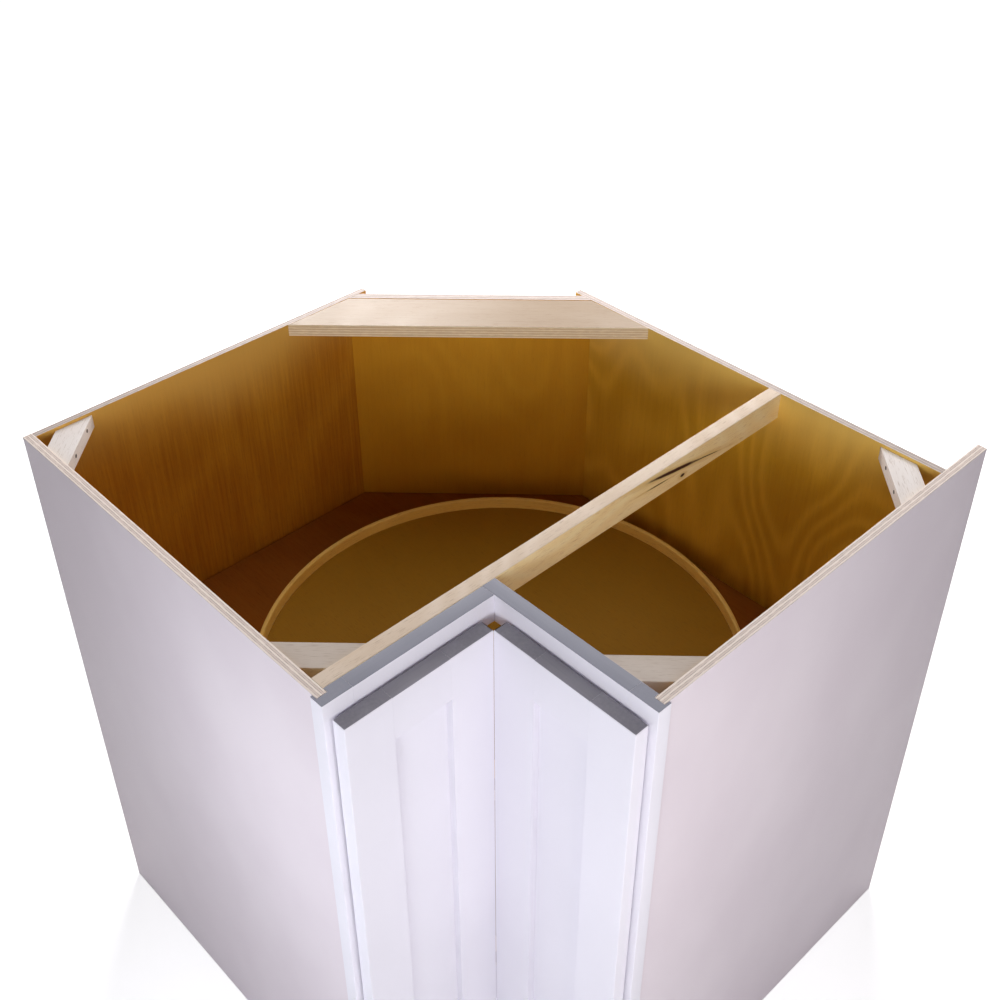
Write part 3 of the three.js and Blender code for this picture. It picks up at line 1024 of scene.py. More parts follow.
def add_piece(
    name: str, surface: Surface, skins: list[Skin], body: str, nodes: list[str]
) -> bpy.types.Object:
    """Puts a finished surface into the scene on its body.

    Args:
        name: the piece's name.
        surface: its closed surface.
        skins: its finishes; a later one covers an earlier one.
        body: the CAD body that it rides on.
        nodes: the CAD nodes that it stands for.

    Returns:
        The new object.
    """
    mesh = bpy.data.meshes.new(name)
    mesh.from_pydata(surface.points.tolist(), [], surface.faces())
    mesh.update()
    attribute = mesh.attributes.new(BOARD, "FLOAT_VECTOR", "POINT")
    attribute.data.foreach_set("vector", surface.board.astype(np.float32).ravel())
    close_poles(mesh)
    normals = np.zeros(len(mesh.polygons) * 3, np.float32)
    mesh.polygons.foreach_get("normal", normals)
    normals = normals.reshape(-1, 3)
    index = np.zeros(len(mesh.polygons), np.int32)
    for number, skin in enumerate(skins):
        mesh.materials.append(skin.finish.material())
        if skin.towards is not None:
            index[normals @ np.asarray(skin.towards, np.float32) > skin.reach] = number
    mesh.polygons.foreach_set("material_index", index)
    mesh.polygons.foreach_set("use_smooth", np.ones(len(mesh.polygons), bool))
    mesh.set_sharp_from_angle(angle=SHARP_ANGLE)
    mesh.update()
    piece = bpy.data.objects.new(name, mesh)
    bpy.context.scene.collection.objects.link(piece)
    if nodes:
        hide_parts(*nodes)
    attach(piece, body)
    LOG.info("%s: %d faces on %s", name, len(mesh.polygons), body)
    return piece


def close_poles(mesh: bpy.types.Mesh) -> None:
    """Merges points that lie together, such as a dome's pole, and drops faces left without area.

    Args:
        mesh: the mesh to mend in place.
    """
    work = bmesh.new()
    work.from_mesh(mesh)
    bmesh.ops.remove_doubles(work, verts=work.verts, dist=MERGE_REACH)
    bmesh.ops.dissolve_degenerate(work, edges=work.edges, dist=MERGE_REACH / 2)
    work.to_mesh(mesh)
    work.free()


# ---- boards ------------------------------------------------------------------


@dataclass(frozen=True)
class Board:
    """A straight board that stands for one CAD node of the same box.

    Its section is carried along its length. Edges on a free side are eased with the soft
    radius and the others with the tight one. A side that butts against another board keeps
    sharp edges, so that the joint closes.
    """

    node: str
    along: Axis
    through: Axis
    free: tuple[tuple[Axis, int], ...] = ()
    butted: tuple[tuple[Axis, int], ...] = ()
    soft: float = 0.0012
    tight: float = 0.00015
    ends: tuple[float, float] = (0.0, 0.0)
    seed: float = 0.0

    def surface(self) -> Surface:
        """The board's surface from its node's box.

        Returns:
            The closed surface.
        """
        low, high = node_box(self.node)
        u, v = [axis for axis in Axis if axis is not self.along]
        signs = np.array([(-1, -1), (1, -1), (1, 1), (-1, 1)])
        corners = np.where(signs < 0, low[[u.value, v.value]], high[[u.value, v.value]])
        radii = np.full(4, self.tight)
        for axis, sign in self.free:
            radii[signs[:, 0 if axis is u else 1] == sign] = self.soft
        for axis, sign in self.butted:
            radii[signs[:, 0 if axis is u else 1] == sign] = 0.0
        outline = anticlockwise(eased(corners, radii))
        share = np.ones(len(outline))
        for axis, sign in self.butted:
            share[facing(outline, (sign, 0) if axis is u else (0, sign))] = 0.0
        own = {u: 0, v: 1, self.along: 2}
        across = next(a for a in (u, v) if a is not self.through)
        grain = (own[self.along], own[across], own[self.through])
        span = (low[self.along.value], high[self.along.value])
        placing = flat_placing(u, v, self.along)
        return carried(outline, (float(span[0]), float(span[1])), placing, grain, self.ends, self.seed, share)


def upward(finish: Finish) -> Skin:
    """A finish on the faces that look up, with most of the rounding beside them."""
    return Skin(finish, (0.0, 0.0, 1.0), 0.75)


# ---- face frame --------------------------------------------------------------


@dataclass
class FaceFrame:
    """The white frame round the L-shaped doorway, with grey painted shade on its up-facing top edges."""

    groove_clearance: float = 0.0004
    arris: float = 0.0009
    end_arrises: tuple[float, float] = (0.0006, 0.0005)

    def build(self) -> None:
        """Builds both arms' stile and rails."""
        for side in Side:
            self.stile(side)
            for height in ("top", "bottom"):
                self.rail(side, height)

    def stile(self, side: Side) -> None:
        """An outer stile: its level section has the groove that holds the end panel.

        Args:
            side: the arm that it closes.
        """
        low, high = node_box(f"{side.value}_frame_stile")
        panel_low, panel_high = node_box(f"{side.value}_end_panel")
        gap = self.groove_clearance
        if side is Side.LEFT:
            groove = np.array([[low[0], panel_high[1] + gap], [panel_high[0] + gap, panel_high[1] + gap],
                               [panel_high[0] + gap, panel_low[1] - gap], [low[0], panel_low[1] - gap]])
            corners = np.array([[low[0], low[1]], [high[0], low[1]], [high[0], high[1]], [low[0], high[1]]])
            outline = np.concatenate([corners, groove])
            radii = np.array([self.arris, self.arris, 0, 0, 0, 0, 0, 0])
        else:
            groove = np.array([[panel_high[0] + gap, high[1]], [panel_high[0] + gap, panel_low[1] - gap],
                               [panel_low[0] - gap, panel_low[1] - gap], [panel_low[0] - gap, high[1]]])
            corners = np.array([[low[0], high[1]], [low[0], low[1]], [high[0], low[1]], [high[0], high[1]]])
            outline = np.concatenate([corners, groove])
            radii = np.array([0, 0, self.arris, self.arris, 0, 0, 0, 0])
        outline = anticlockwise(eased(outline, radii))
        share = np.ones(len(outline))
        share[facing(outline, (0, 1) if side is Side.LEFT else (-1, 0))] = 0.0
        surface = carried(
            outline, (float(low[2]), float(high[2])), LEVEL, (2, 1, 0),
            self.end_arrises, 1.0 if side is Side.LEFT else 2.0, share,
        )
        name = f"{side.value}_frame_stile"
        # the up-facing faces get the grey painted shade
        skins = [Skin(FRONT_PAINT), upward(FRAME_TOP_SHADE)]
        add_piece(f"{name}.face", surface, skins, "cabinet", [name])

    def rail(self, side: Side, height: str) -> None:
        """A rail between the stile and the inner corner.

        Args:
            side: the arm that it spans.
            height: "top" or "bottom".
        """
        node = f"{side.value}_frame_{height}_rail"
        along = Axis.Y if side is Side.LEFT else Axis.X
        through = Axis.X if side is Side.LEFT else Axis.Y
        board = Board(
            node, along, through, ((Axis.Z, 1), (Axis.Z, -1)), soft=self.arris * 0.7, ends=(0.00015, 0.00015),
            seed=3.0 if side is Side.LEFT else 4.5,
        )
        # the top rail's up-facing faces get the grey painted shade
        skins = [Skin(FRONT_PAINT)] + ([upward(FRAME_TOP_SHADE)] if height == "top" else [])
        add_piece(f"{node}.face", board.surface(), skins, "cabinet", [node])


# ---- carcass -----------------------------------------------------------------


@dataclass
class EndPanels:
    """The two 24 inch deep end panels: white skin outside, veneer inside, bare ply edges."""

    toe_plane: float = 0.1143
    toe_height: float = 0.1143
    plies: int = 5
    arris: float = 0.0006

    def build(self) -> None:
        """Builds the left panel, which lies across Y, and the right one, which lies across X."""
        for side in Side:
            node = f"{side.value}_end_panel"
            low, high = node_box(node)
            run, back = (low[0], high[0]), low[0]
            if side is Side.RIGHT:
                run, back = (-high[1], -low[1]), -high[1]
            outline = np.array([
                [back, low[2]], [self.toe_plane, low[2]], [self.toe_plane, self.toe_height],
                [run[1], self.toe_height], [run[1], high[2]], [back, high[2]],
            ])
            if side is Side.LEFT:
                placing = Placing(Axis.X.unit, Axis.Z.unit, Axis.Y.unit)
                span = (float(low[1]), float(high[1]))
                out = (0.0, -1.0, 0.0)
            else:
                placing = Placing(-Axis.Y.unit, Axis.Z.unit, Axis.X.unit)
                span = (float(low[0]), float(high[0]))
                out = (1.0, 0.0, 0.0)
            seed = 7.0 if side is Side.LEFT else 5.0
            surface = carried(outline, span, placing, (1, 0, 2), (self.arris, self.arris), seed)
            edge = ply_edge("end_panel_edge", span[1] - span[0], self.plies, EdgeTone.PALE)
            inside = tuple(-c for c in out)
            skins = [Skin(edge), Skin(END_SKIN, out), Skin(PANEL_VENEER, inside)]
            add_piece(f"{node}.ply", surface, skins, "cabinet", [node])


@dataclass
class BackWalls:
    """The two wall panels and the diagonal back between them, bare birch outside."""

    arris: float = 0.0005
    plies: int = 5
    diagonal_thickness: float = 0.0127

    def build(self) -> None:
        """Builds the three upright back panels."""
        self.wall("left_wall_panel", Axis.X, LEFT_VENEER, 11.0, (1.0, 0.0, 0.0))
        self.wall("right_wall_panel", Axis.Y, RIGHT_VENEER, 13.0, (0.0, -1.0, 0.0))
        self.diagonal()

    def wall(self, node: str, through: Axis, veneer: Timber, seed: float, inside: Point) -> None:
        """A flat panel across X or Y, with upright grain.

        Args:
            node: the CAD node's name.
            through: the direction of its thickness.
            veneer: the finish of its inner face.
            seed: moves its wood pattern.
            inside: the direction that its inner face looks in.
        """
        low, high = node_box(node)
        run = Axis.Y if through is Axis.X else Axis.X
        start, end = low[run.value], high[run.value]
        outline = np.array([[start, low[2]], [end, low[2]], [end, high[2]], [start, high[2]]])
        span = (float(low[through.value]), float(high[through.value]))
        placing = flat_placing(run, Axis.Z, through)
        surface = carried(outline, span, placing, (1, 0, 2), (self.arris, self.arris), seed)
        edge = ply_edge(f"{node}_edge", span[1] - span[0], self.plies, EdgeTone.DULL)
        outside = tuple(-c for c in inside)
        skins = [Skin(edge), Skin(veneer, inside), Skin(OUTSIDE_VENEER, outside)]
        add_piece(f"{node}.ply", surface, skins, "cabinet", [node])

    def diagonal(self) -> None:
        """The back across the cut-off corner.

        Its ends are cut to the two wall panels, so its outline is drawn level and carried up.
        """
        node = "diagonal_back_panel"
        low, high = node_box(node)
        outline = level_outline(node)
        grain = across_corner_grain(outline)
        span = (float(low[2]), float(high[2]))
        surface = carried(outline, span, LEVEL, (2, 0, 1), (0, self.arris))
        surface.board = grain(surface.points, 17.0)
        edge = ply_edge("diagonal_back_edge", self.diagonal_thickness, self.plies, EdgeTone.DULL)
        slant = math.sqrt(0.5)
        inside, outside = (slant, -slant, 0.0), (-slant, slant, 0.0)
        skins = [Skin(edge), Skin(BACK_VENEER, inside), Skin(OUTSIDE_VENEER, outside)]
        add_piece(f"{node}.ply", surface, skins, "cabinet", [node])


def level_outline(node: str) -> np.ndarray:
    """The corners of a level board's outline, read from its CAD node's top face.

    The node's points at its highest level are sorted round their middle, which is right for a
    convex outline.

    Args:
        node: the CAD node's name.

    Returns:
        The corners as an (n, 2) array.
    """
    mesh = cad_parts[node].data
    points = np.zeros(len(mesh.vertices) * 3, np.float32)
    mesh.vertices.foreach_get("co", points)
    points = points.reshape(-1, 3).astype(float)
    top = points[points[:, 2] > points[:, 2].max() - 1e-4][:, :2]
    corners = np.unique(np.round(top, 5), axis=0)
    middle = corners.mean(0)
    order = np.argsort(np.arctan2(*(corners - middle).T[::-1]))
    return corners[order]


def across_corner_grain(outline: np.ndarray) -> Callable[[np.ndarray, float], np.ndarray]:
    """Board coordinates for a panel across the back corner, with upright grain.

    Along is the height, across is (x + y) over the root of two, and through is the distance from
    the middle plane of the panel, (y - x) over the root of two.

    Args:
        outline: the panel's level outline.

    Returns:
        A function of (points, seed) that gives the coordinates.
    """
    depth = (outline[:, 1] - outline[:, 0]) / math.sqrt(2.0)
    middle = (depth.min() + depth.max()) / 2

    def coordinates(points: np.ndarray, seed: float) -> np.ndarray:
        """Board coordinates of points in the row frame."""
        across = (points[:, 0] + points[:, 1]) / math.sqrt(2.0)
        through = (points[:, 1] - points[:, 0]) / math.sqrt(2.0) - middle
        return np.stack([points[:, 2] + 1.7 * seed, across + 0.9 * seed, through], axis=1)

    return coordinates


@dataclass
class Decks:
    """The floor panel and the fixed half-height shelf."""

    arris: float = 0.0005
    wall_gap: float = 0.0034

    def build(self) -> None:
        """Builds both decks from the panels round them."""
        for seed, (node, plies) in enumerate((("floor_panel", 5), ("fixed_shelf", 7))):
            low, high = node_box(node)
            surface = carried(
                self.outline(low, high), (float(low[2]), float(high[2])), LEVEL,
                (0, 1, 2), (self.arris, self.arris), 21.0 + seed,
            )
            edge = ply_edge(f"{node}_edge", float(high[2] - low[2]), plies)
            skins = [Skin(edge), upward(SHELF_VENEER), Skin(SHELF_VENEER, (0.0, 0.0, -1.0))]
            add_piece(f"{node}.ply", surface, skins, "cabinet", [node])

    def outline(self, low: np.ndarray, high: np.ndarray) -> np.ndarray:
        """The L with a cut-off back corner, set just inside the panels that hold it.

        Args:
            low: the deck's lowest corner.
            high: the deck's highest corner.

        Returns:
            The outline's corners.
        """
        frame_low, _ = node_box("left_frame_top_rail")
        front = float(frame_low[0]) - self.wall_gap
        back = level_outline("diagonal_back_panel")
        cut = float((back[:, 1] - back[:, 0]).min()) - self.wall_gap * math.sqrt(2.0)
        (x0, y0), (x1, y1) = low[:2] + self.wall_gap, high[:2] - self.wall_gap
        return np.array([
            [x0, y0], [front, y0], [front, -front], [x1, -front], [x1, y1], [y1 - cut, y1], [x0, x0 + cut],
        ])


@dataclass
class TopMembers:
    """The stretcher across the back corner, the long beam and the four corner braces."""

    nail_radius: float = 0.0026
    back_gap: float = 0.0013
    ply_arris: float = 0.0004
    brace_arris: float = 0.0006
    nail_places: dict[str, tuple[Point, ...]] = field(default_factory=lambda: {
        "back_left_brace": ((-0.3912, -0.3453, 0.8652), (-0.3558, -0.3806, 0.8633)),
        "back_right_brace": ((0.3459, 0.3115, 0.8652), (0.3777, 0.2797, 0.8640)),
    })

    def build(self) -> None:
        """Builds the stretcher, the beam and the braces with their nails."""
        self.stretcher()
        self.beam()
        for seed, place in enumerate(("front_left", "front_right", "back_left", "back_right")):
            self.brace(f"{place}_brace", 31.0 + 1.3 * seed)

    def stretcher(self) -> None:
        """A flat plywood board with its long grain across the corner."""
        node = "back_stretcher"
        low, high = node_box(node)
        outline = level_outline(node)
        root = math.sqrt(2.0)
        depth = outline[:, 1] - outline[:, 0]
        back = (depth > depth.max() - 0.001)[:, None]
        outline = outline + back * np.array([1.0, -1.0]) * self.back_gap / root
        span = (float(low[2]), float(high[2]))
        surface = carried(outline, span, LEVEL, (0, 1, 2), (self.ply_arris, self.ply_arris))
        points = surface.points
        surface.board = np.stack([
            (points[:, 0] + points[:, 1]) / root + 9.0, (points[:, 1] - points[:, 0]) / root + 3.0,
            points[:, 2] - (low[2] + high[2]) / 2,
        ], axis=1)
        edge = ply_edge("stretcher_edge", float(high[2] - low[2]), 9)
        skins = [Skin(edge), upward(STRETCHER_VENEER), Skin(BACK_VENEER, (0.0, 0.0, -1.0))]
        add_piece(f"{node}.ply", surface, skins, "cabinet", [node])

    def beam(self) -> None:
        """The long softwood beam behind the left arm's frame, with a dark knot and split."""
        node = "support_beam"
        board = Board(node, Axis.Y, Axis.X, ((Axis.Z, 1), (Axis.Z, -1)), soft=0.0008)
        knots = (
            Knot((0.5320, 0.0243), (0.050, 0.0028), -0.150),
            Knot((0.5870, 0.0155), (0.030, 0.0008), -0.170),
            Knot((0.4990, 0.0188), (0.020, 0.0008), -0.050),
            Knot((0.5466, 0.0090), (0.004, 0.0026)),
        )
        wood = Timber(
            "beam_side_lit_copy", srgb(255, 240, 196), srgb(248, 220, 160), srgb(190, 144, 86), bands=16.0,
            growth=0.35, cloud=0.35, rough=0.55, knots=knots, knot_colour=srgb(52, 22, 14),
            halo_colour=srgb(222, 186, 108),
        )
        # the sides carry painted light and the up-facing top the darker copy
        skins = [Skin(wood), upward(BEAM_TOP_SHADED_COPY)]
        add_piece(f"{node}.bar", board.surface(), skins, "cabinet", [node])

    def brace(self, node: str, seed: float) -> None:
        """A flat softwood board with mitred ends.

        Args:
            node: the CAD node's name.
            seed: moves its wood pattern.
        """
        low, high = node_box(node)
        outline = level_outline(node)
        span = (float(low[2]), float(high[2]))
        surface = carried(outline, span, LEVEL, (0, 1, 2), (self.brace_arris, self.brace_arris))
        edges = np.roll(outline, -1, axis=0) - outline
        along = edges[int(np.argmax(np.linalg.norm(edges, axis=1)))]
        along = along / np.linalg.norm(along)
        points = surface.points
        flat = points[:, :2]
        surface.board = np.stack([
            flat @ along + seed, flat @ np.array([-along[1], along[0]]) + 0.6 * seed,
            points[:, 2] - (low[2] + high[2]) / 2,
        ], axis=1)
        # the front braces take the shaded copy and the back ones the lit copy
        wood = FRONT_BRACE_SHADED_COPY if node.startswith("front") else BRACE_LIT_COPY
        add_piece(f"{node}.strip", surface, [Skin(wood)], "cabinet", [node])
        places = self.nail_places.get(node, ())
        if places:
            middle = (low + high) / 2
            out = np.sign(-middle[:2]) / math.sqrt(2.0)
            axis = np.array([out[0], out[1], 0.0])
            heads = [self.nail(place, axis) for place in places]
            add_piece(f"{node}.nails", joined(heads), [Skin(NAIL_STEEL_AND_CUP_SHADE)], "cabinet", [])

    def nail(self, place: Point, axis: np.ndarray) -> Surface:
        """A nail head: a low dome that starts inside the wood.

        Args:
            place: the head's middle on the wood.
            axis: the direction that it looks in.

        Returns:
            The head's surface.
        """
        r = self.nail_radius
        profile = np.array([[0, -0.001], [r, -0.001], [r, 0.0002], [0.8 * r, 0.0005], [0, 0.0006]])
        return turned(profile, place, axis, 16)


@dataclass
class ToeKick:
    """The two white boards set back under the doorway."""

    arris: float = 0.0008

    def build(self) -> None:
        """Builds both toe boards."""
        for side in Side:
            node = f"{side.value}_toe_board"
            along, through = (Axis.Y, Axis.X) if side is Side.LEFT else (Axis.X, Axis.Y)
            board = Board(node, along, through, ((Axis.Z, 1), (Axis.Z, -1)), soft=self.arris)
            add_piece(f"{node}.face", board.surface(), [Skin(FRONT_PAINT)], "cabinet", [node])


# ---- doors -------------------------------------------------------------------


@dataclass
class Door:
    """One leaf of the bifold pair: stiles and rails round a recessed flat panel."""

    side: Side
    arris: float = 0.0013
    meeting: float = 0.0004

    @property
    def body(self) -> str:
        """The leaf's CAD body."""
        return f"{self.side.value}_door"

    @property
    def run(self) -> Axis:
        """The level direction along the leaf."""
        return Axis.Y if self.side is Side.LEFT else Axis.X

    @property
    def depth(self) -> Axis:
        """The direction through the leaf."""
        return Axis.X if self.side is Side.LEFT else Axis.Y

    def build(self) -> None:
        """Builds the stiles, the rails, the panel and the bumpers."""
        outward = -1 if self.side is Side.LEFT else 1
        for place, sign in (("corner", -outward), ("outer", outward)):
            self.stile(f"{self.body}_{place}_stile", sign, self.arris if place == "outer" else self.meeting)
        for place, sign in (("top", 1), ("bottom", -1)):
            self.rail(f"{self.body}_{place}_rail", sign)
        self.panel()
        for place in ("top", "bottom"):
            self.bumper(f"{self.body}_{place}_bumper")

    def stile(self, node: str, sign: int, ease: float) -> None:
        """An upright member: its long free edges are eased, and the rails butt against it.

        Args:
            node: the CAD node's name.
            sign: which way along the leaf its free side looks.
            ease: the radius of its free edges.
        """
        board = Board(
            node, Axis.Z, self.depth, ((self.run, sign),), ((self.run, -sign),), soft=ease,
            ends=(self.arris, self.arris), seed=len(node),
        )
        # the stile's up-facing end gets the grey painted shade
        skins = [Skin(FRONT_PAINT), upward(DOOR_TOP_SHADE)]
        add_piece(f"{node}.face", board.surface(), skins, self.body, [node])

    def rail(self, node: str, sign: int) -> None:
        """A level member between the stiles.

        Args:
            node: the CAD node's name.
            sign: 1 for the top rail and -1 for the bottom one.
        """
        board = Board(node, self.run, self.depth, ((Axis.Z, sign),), soft=self.arris, seed=len(node))
        # the top rail's up-facing faces get the grey painted shade
        skins = [Skin(FRONT_PAINT)] + ([upward(DOOR_TOP_SHADE)] if sign > 0 else [])
        add_piece(f"{node}.face", board.surface(), skins, self.body, [node])

    def panel(self) -> None:
        """The flat centre panel at its node's full size, which runs into the members."""
        node = f"{self.body}_panel"
        board = Board(node, Axis.Z, self.depth, tight=0.0004, ends=(0.0004, 0.0004))
        add_piece(f"{node}.face", board.surface(), [Skin(FRONT_PAINT)], self.body, [node])

    def bumper(self, node: str) -> None:
        """A clear dot on the back of the leaf: a low dome.

        Args:
            node: the CAD node's name.
        """
        low, high = node_box(node)
        middle = (low + high) / 2
        radius = (high[2] - low[2]) / 2
        axis = -Axis.X.unit if self.side is Side.LEFT else Axis.Y.unit
        foot = middle - axis * (high - low)[self.depth.value] / 2
        rise = (high - low)[self.depth.value]
        t = np.linspace(0, math.pi / 2, 9)
        dome = np.stack([radius * np.cos(t), rise * (0.35 + 0.65 * np.sin(t))], axis=1)
        profile = np.concatenate([[[0, 0], [radius, 0]], dome])
        profile[-1, 0] = 0.0
        surface = turned(profile, tuple(foot), axis, 32)
        add_piece(f"{node}.dot", surface, [Skin(CLEAR_DOT)], self.body, [node])


# ---- hinges ------------------------------------------------------------------


def ring_profile(inner: float, outer: float, low: float, high: float, ease: float) -> np.ndarray:
    """A rectangle of radius and height with eased corners, as a closed profile.

    Args:
        inner: the inner radius.
        outer: the outer radius.
        low: the lower height.
        high: the upper height.
        ease: the corners' radius.

    Returns:
        The profile's rows.
    """
    box = np.array([[inner, low], [outer, low], [outer, high], [inner, high]])
    return eased(box, np.full(4, ease), 2)


def screw_head(place: np.ndarray, axis: np.ndarray, radius: float) -> Surface:
    """A pan head with a round dimple in its middle.

    Args:
        place: the middle of the head's seat.
        axis: the direction that it looks in.
        radius: the head's radius.

    Returns:
        The head's surface.
    """
    r = radius
    rows = [[0, -0.2 * r], [r, -0.2 * r], [r, 0.15 * r], [0.85 * r, 0.38 * r], [0.55 * r, 0.48 * r],
            [0.34 * r, 0.48 * r], [0.26 * r, 0.12 * r], [0, 0.08 * r]]
    return turned(np.array(rows), tuple(place), axis, 20)


@dataclass
class CupHinge:
    """The pressed cup of a concealed hinge: a flange with two ears, a dark disc of painted shade in the cup's
    hollow, and its screws.
    """

    node: str
    body: str
    depth: Axis
    sign: int
    cup_radius: float = 0.0175
    flange: float = 0.0012
    lip: float = 0.0016
    lip_depth: float = 0.001
    lip_ease: float = 0.0002
    ear: float = 0.0085
    wing_share: float = 0.62
    corner: float = 0.0055
    arris: float = 0.0003
    screw_inset: float = 0.0062
    screw_radius: float = 0.0024
    bowl_inset: float = 0.0022
    bowl_slope: float = 0.0028

    def build(self) -> None:
        """Builds the flange, the raised lip of the cup, a dark disc of painted shade in its hollow and the
        screws.
        """
        low, high = node_box(self.node)
        d = self.depth.value
        u = Axis.Y if self.depth is Axis.X else Axis.X
        face = high[d] if self.sign > 0 else low[d]
        centre = (low + high) / 2
        half_u, half_z = (high - low)[u.value] / 2, (high - low)[2] / 2
        out = self.depth.unit * self.sign
        root = face - self.sign * self.flange
        ear, wing = self.ear, self.cup_radius * self.wing_share
        outline = np.array([
            [-half_u, -wing], [-ear, -half_z], [ear, -half_z], [half_u, -wing],
            [half_u, wing], [ear, half_z], [-ear, half_z], [-half_u, wing],
        ])
        outline = eased(outline, np.full(8, self.corner), 5)
        middle = centre.copy()
        middle[d] = 0.0
        placing = Placing(u.unit, Axis.Z.unit, self.depth.unit, middle)
        span = (min(root, face), max(root, face))
        plate = carried(outline, span, placing, (0, 1, 2), (self.arris, self.arris))
        seat = centre.copy()
        seat[d] = face
        inner = self.cup_radius - self.lip
        lip_profile = ring_profile(inner, self.cup_radius, -self.lip_depth, 0.0, self.lip_ease)
        lip = turned(lip_profile, tuple(seat), out, 48, True)
        seats = [seat + Axis.Z.unit * s * (half_z - self.screw_inset) - out * self.flange for s in (-1, 1)]
        screws = [screw_head(place, out, self.screw_radius) for place in seats]
        steel = joined([plate, lip, *screws])
        add_piece(f"{self.node}.cup", steel, [Skin(STEEL)], self.body, [self.node])
        # painted shade: a dark disc laid inside the cup's lip stands for the shade in its hollow
        bowl = self.cup_radius - self.bowl_inset
        flat = bowl - self.bowl_slope
        rows = np.array([[0, -0.0012], [bowl, -0.0012], [bowl, -0.0002], [flat, -0.0006], [0, -0.0008]])
        painted_shade_dish = turned(rows, tuple(seat), out, 40)
        add_piece(f"{self.node}.dish", painted_shade_dish, [Skin(NAIL_STEEL_AND_CUP_SHADE)], self.body, [])


@dataclass
class ArmHinge:
    """A mounting plate with the hinge arm over it."""

    node: str
    body: str
    normal: tuple[Axis, int]
    reach: Axis
    plate_span: tuple[float, float]
    plate_half: float
    arm_half: float
    plate_thickness: float = 0.002
    plate_corner: float = 0.003
    plate_arris: float = 0.0003
    arm_corner: float = 0.0022
    arm_arris: float = 0.0012
    waist_share: float = 0.72
    foot_taper: float = 0.012
    tip_taper: float = 0.006
    sunk: float = 0.0004
    plate_screw_inset: float = 0.0065
    plate_screw: float = 0.0034
    arm_screw: float = 0.0026
    arm_screw_places: tuple[float, float] = (0.3, 0.62)

    def build(self) -> None:
        """Builds the plate, the arm with its rounded back, and their screws."""
        axis, sign = self.normal
        low, high = node_box(self.node)
        d, r = axis.value, self.reach.value
        seat = low[d] if sign > 0 else high[d]
        tip = high[d] if sign > 0 else low[d]
        level = (low[2] + high[2]) / 2
        centre = np.zeros(3)
        centre[2] = level
        placing = Placing(self.reach.unit, Axis.Z.unit, axis.unit, centre)
        (a, b), p = self.plate_span, self.plate_half
        top = seat + sign * self.plate_thickness
        plate_span = (min(seat, top), max(seat, top))
        plate_box = eased(np.array([[a, -p], [b, -p], [b, p], [a, p]]), np.full(4, self.plate_corner), 4)
        plate = carried(plate_box, plate_span, placing, (0, 1, 2), (self.plate_arris, self.plate_arris))
        c, e, h = low[r], high[r], self.arm_half
        foot, nose, waist = c + self.foot_taper, e - self.tip_taper, h * self.waist_share
        arm_box = np.array([
            [c, -waist], [foot, -h], [nose, -h], [e, -waist], [e, waist], [nose, h], [foot, h], [c, waist],
        ])
        arm_box = eased(arm_box, np.full(8, self.arm_corner), 4)
        under = top - sign * self.sunk
        arm_span = (min(under, tip), max(under, tip))
        arm = carried(arm_box, arm_span, placing, (0, 1, 2), (self.arm_arris, self.arm_arris))
        out = axis.unit * sign
        screws = []
        for s in (-1, 1):
            place = centre + self.reach.unit * (a + b) / 2 + Axis.Z.unit * s * (p - self.plate_screw_inset)
            place[d] = top
            screws.append(screw_head(place, out, self.plate_screw))
        for share in self.arm_screw_places:
            place = centre + self.reach.unit * (c + (e - c) * share)
            place[d] = tip - sign * self.arm_arris
            screws.append(screw_head(place, out, self.arm_screw))
        steel = joined([plate, arm, *screws])
        add_piece(f"{self.node}.arm", steel, [Skin(STEEL)], self.body, [self.node])


@dataclass
class Hinges:
    """The two frame hinges and the two fold hinges."""

    frame_plate_inset: float = 0.002
    frame_plate_half: float = 0.025
    frame_arm_half: float = 0.009
    fold_plate_short: float = 0.014
    fold_plate_half: float = 0.022
    fold_arm_half: float = 0.008

    def build(self) -> None:
        """Builds every cup, plate and arm."""
        for level in Level:
            CupHinge(f"{level.value}_frame_hinge_cup", "left_door", Axis.X, -1).build()
            CupHinge(f"{level.value}_fold_hinge_cup", "right_door", Axis.Y, 1).build()
            frame_arm = f"{level.value}_frame_hinge_arm"
            rail_low, rail_high = node_box("left_frame_top_rail")
            inset, half, arm = self.frame_plate_inset, self.frame_plate_half, self.frame_arm_half
            span = (float(rail_low[0]) + inset, float(rail_high[0]) - inset)
            ArmHinge(frame_arm, "cabinet", (Axis.Y, 1), Axis.X, span, half, arm).build()
            fold = f"{level.value}_fold_hinge_plate"
            low, high = node_box(fold)
            span = (float(low[1]), float(high[1]) - self.fold_plate_short)
            half, arm = self.fold_plate_half, self.fold_arm_half
            ArmHinge(fold, "left_door", (Axis.X, -1), Axis.Y, span, half, arm).build()


# ---- trays -------------------------------------------------------------------


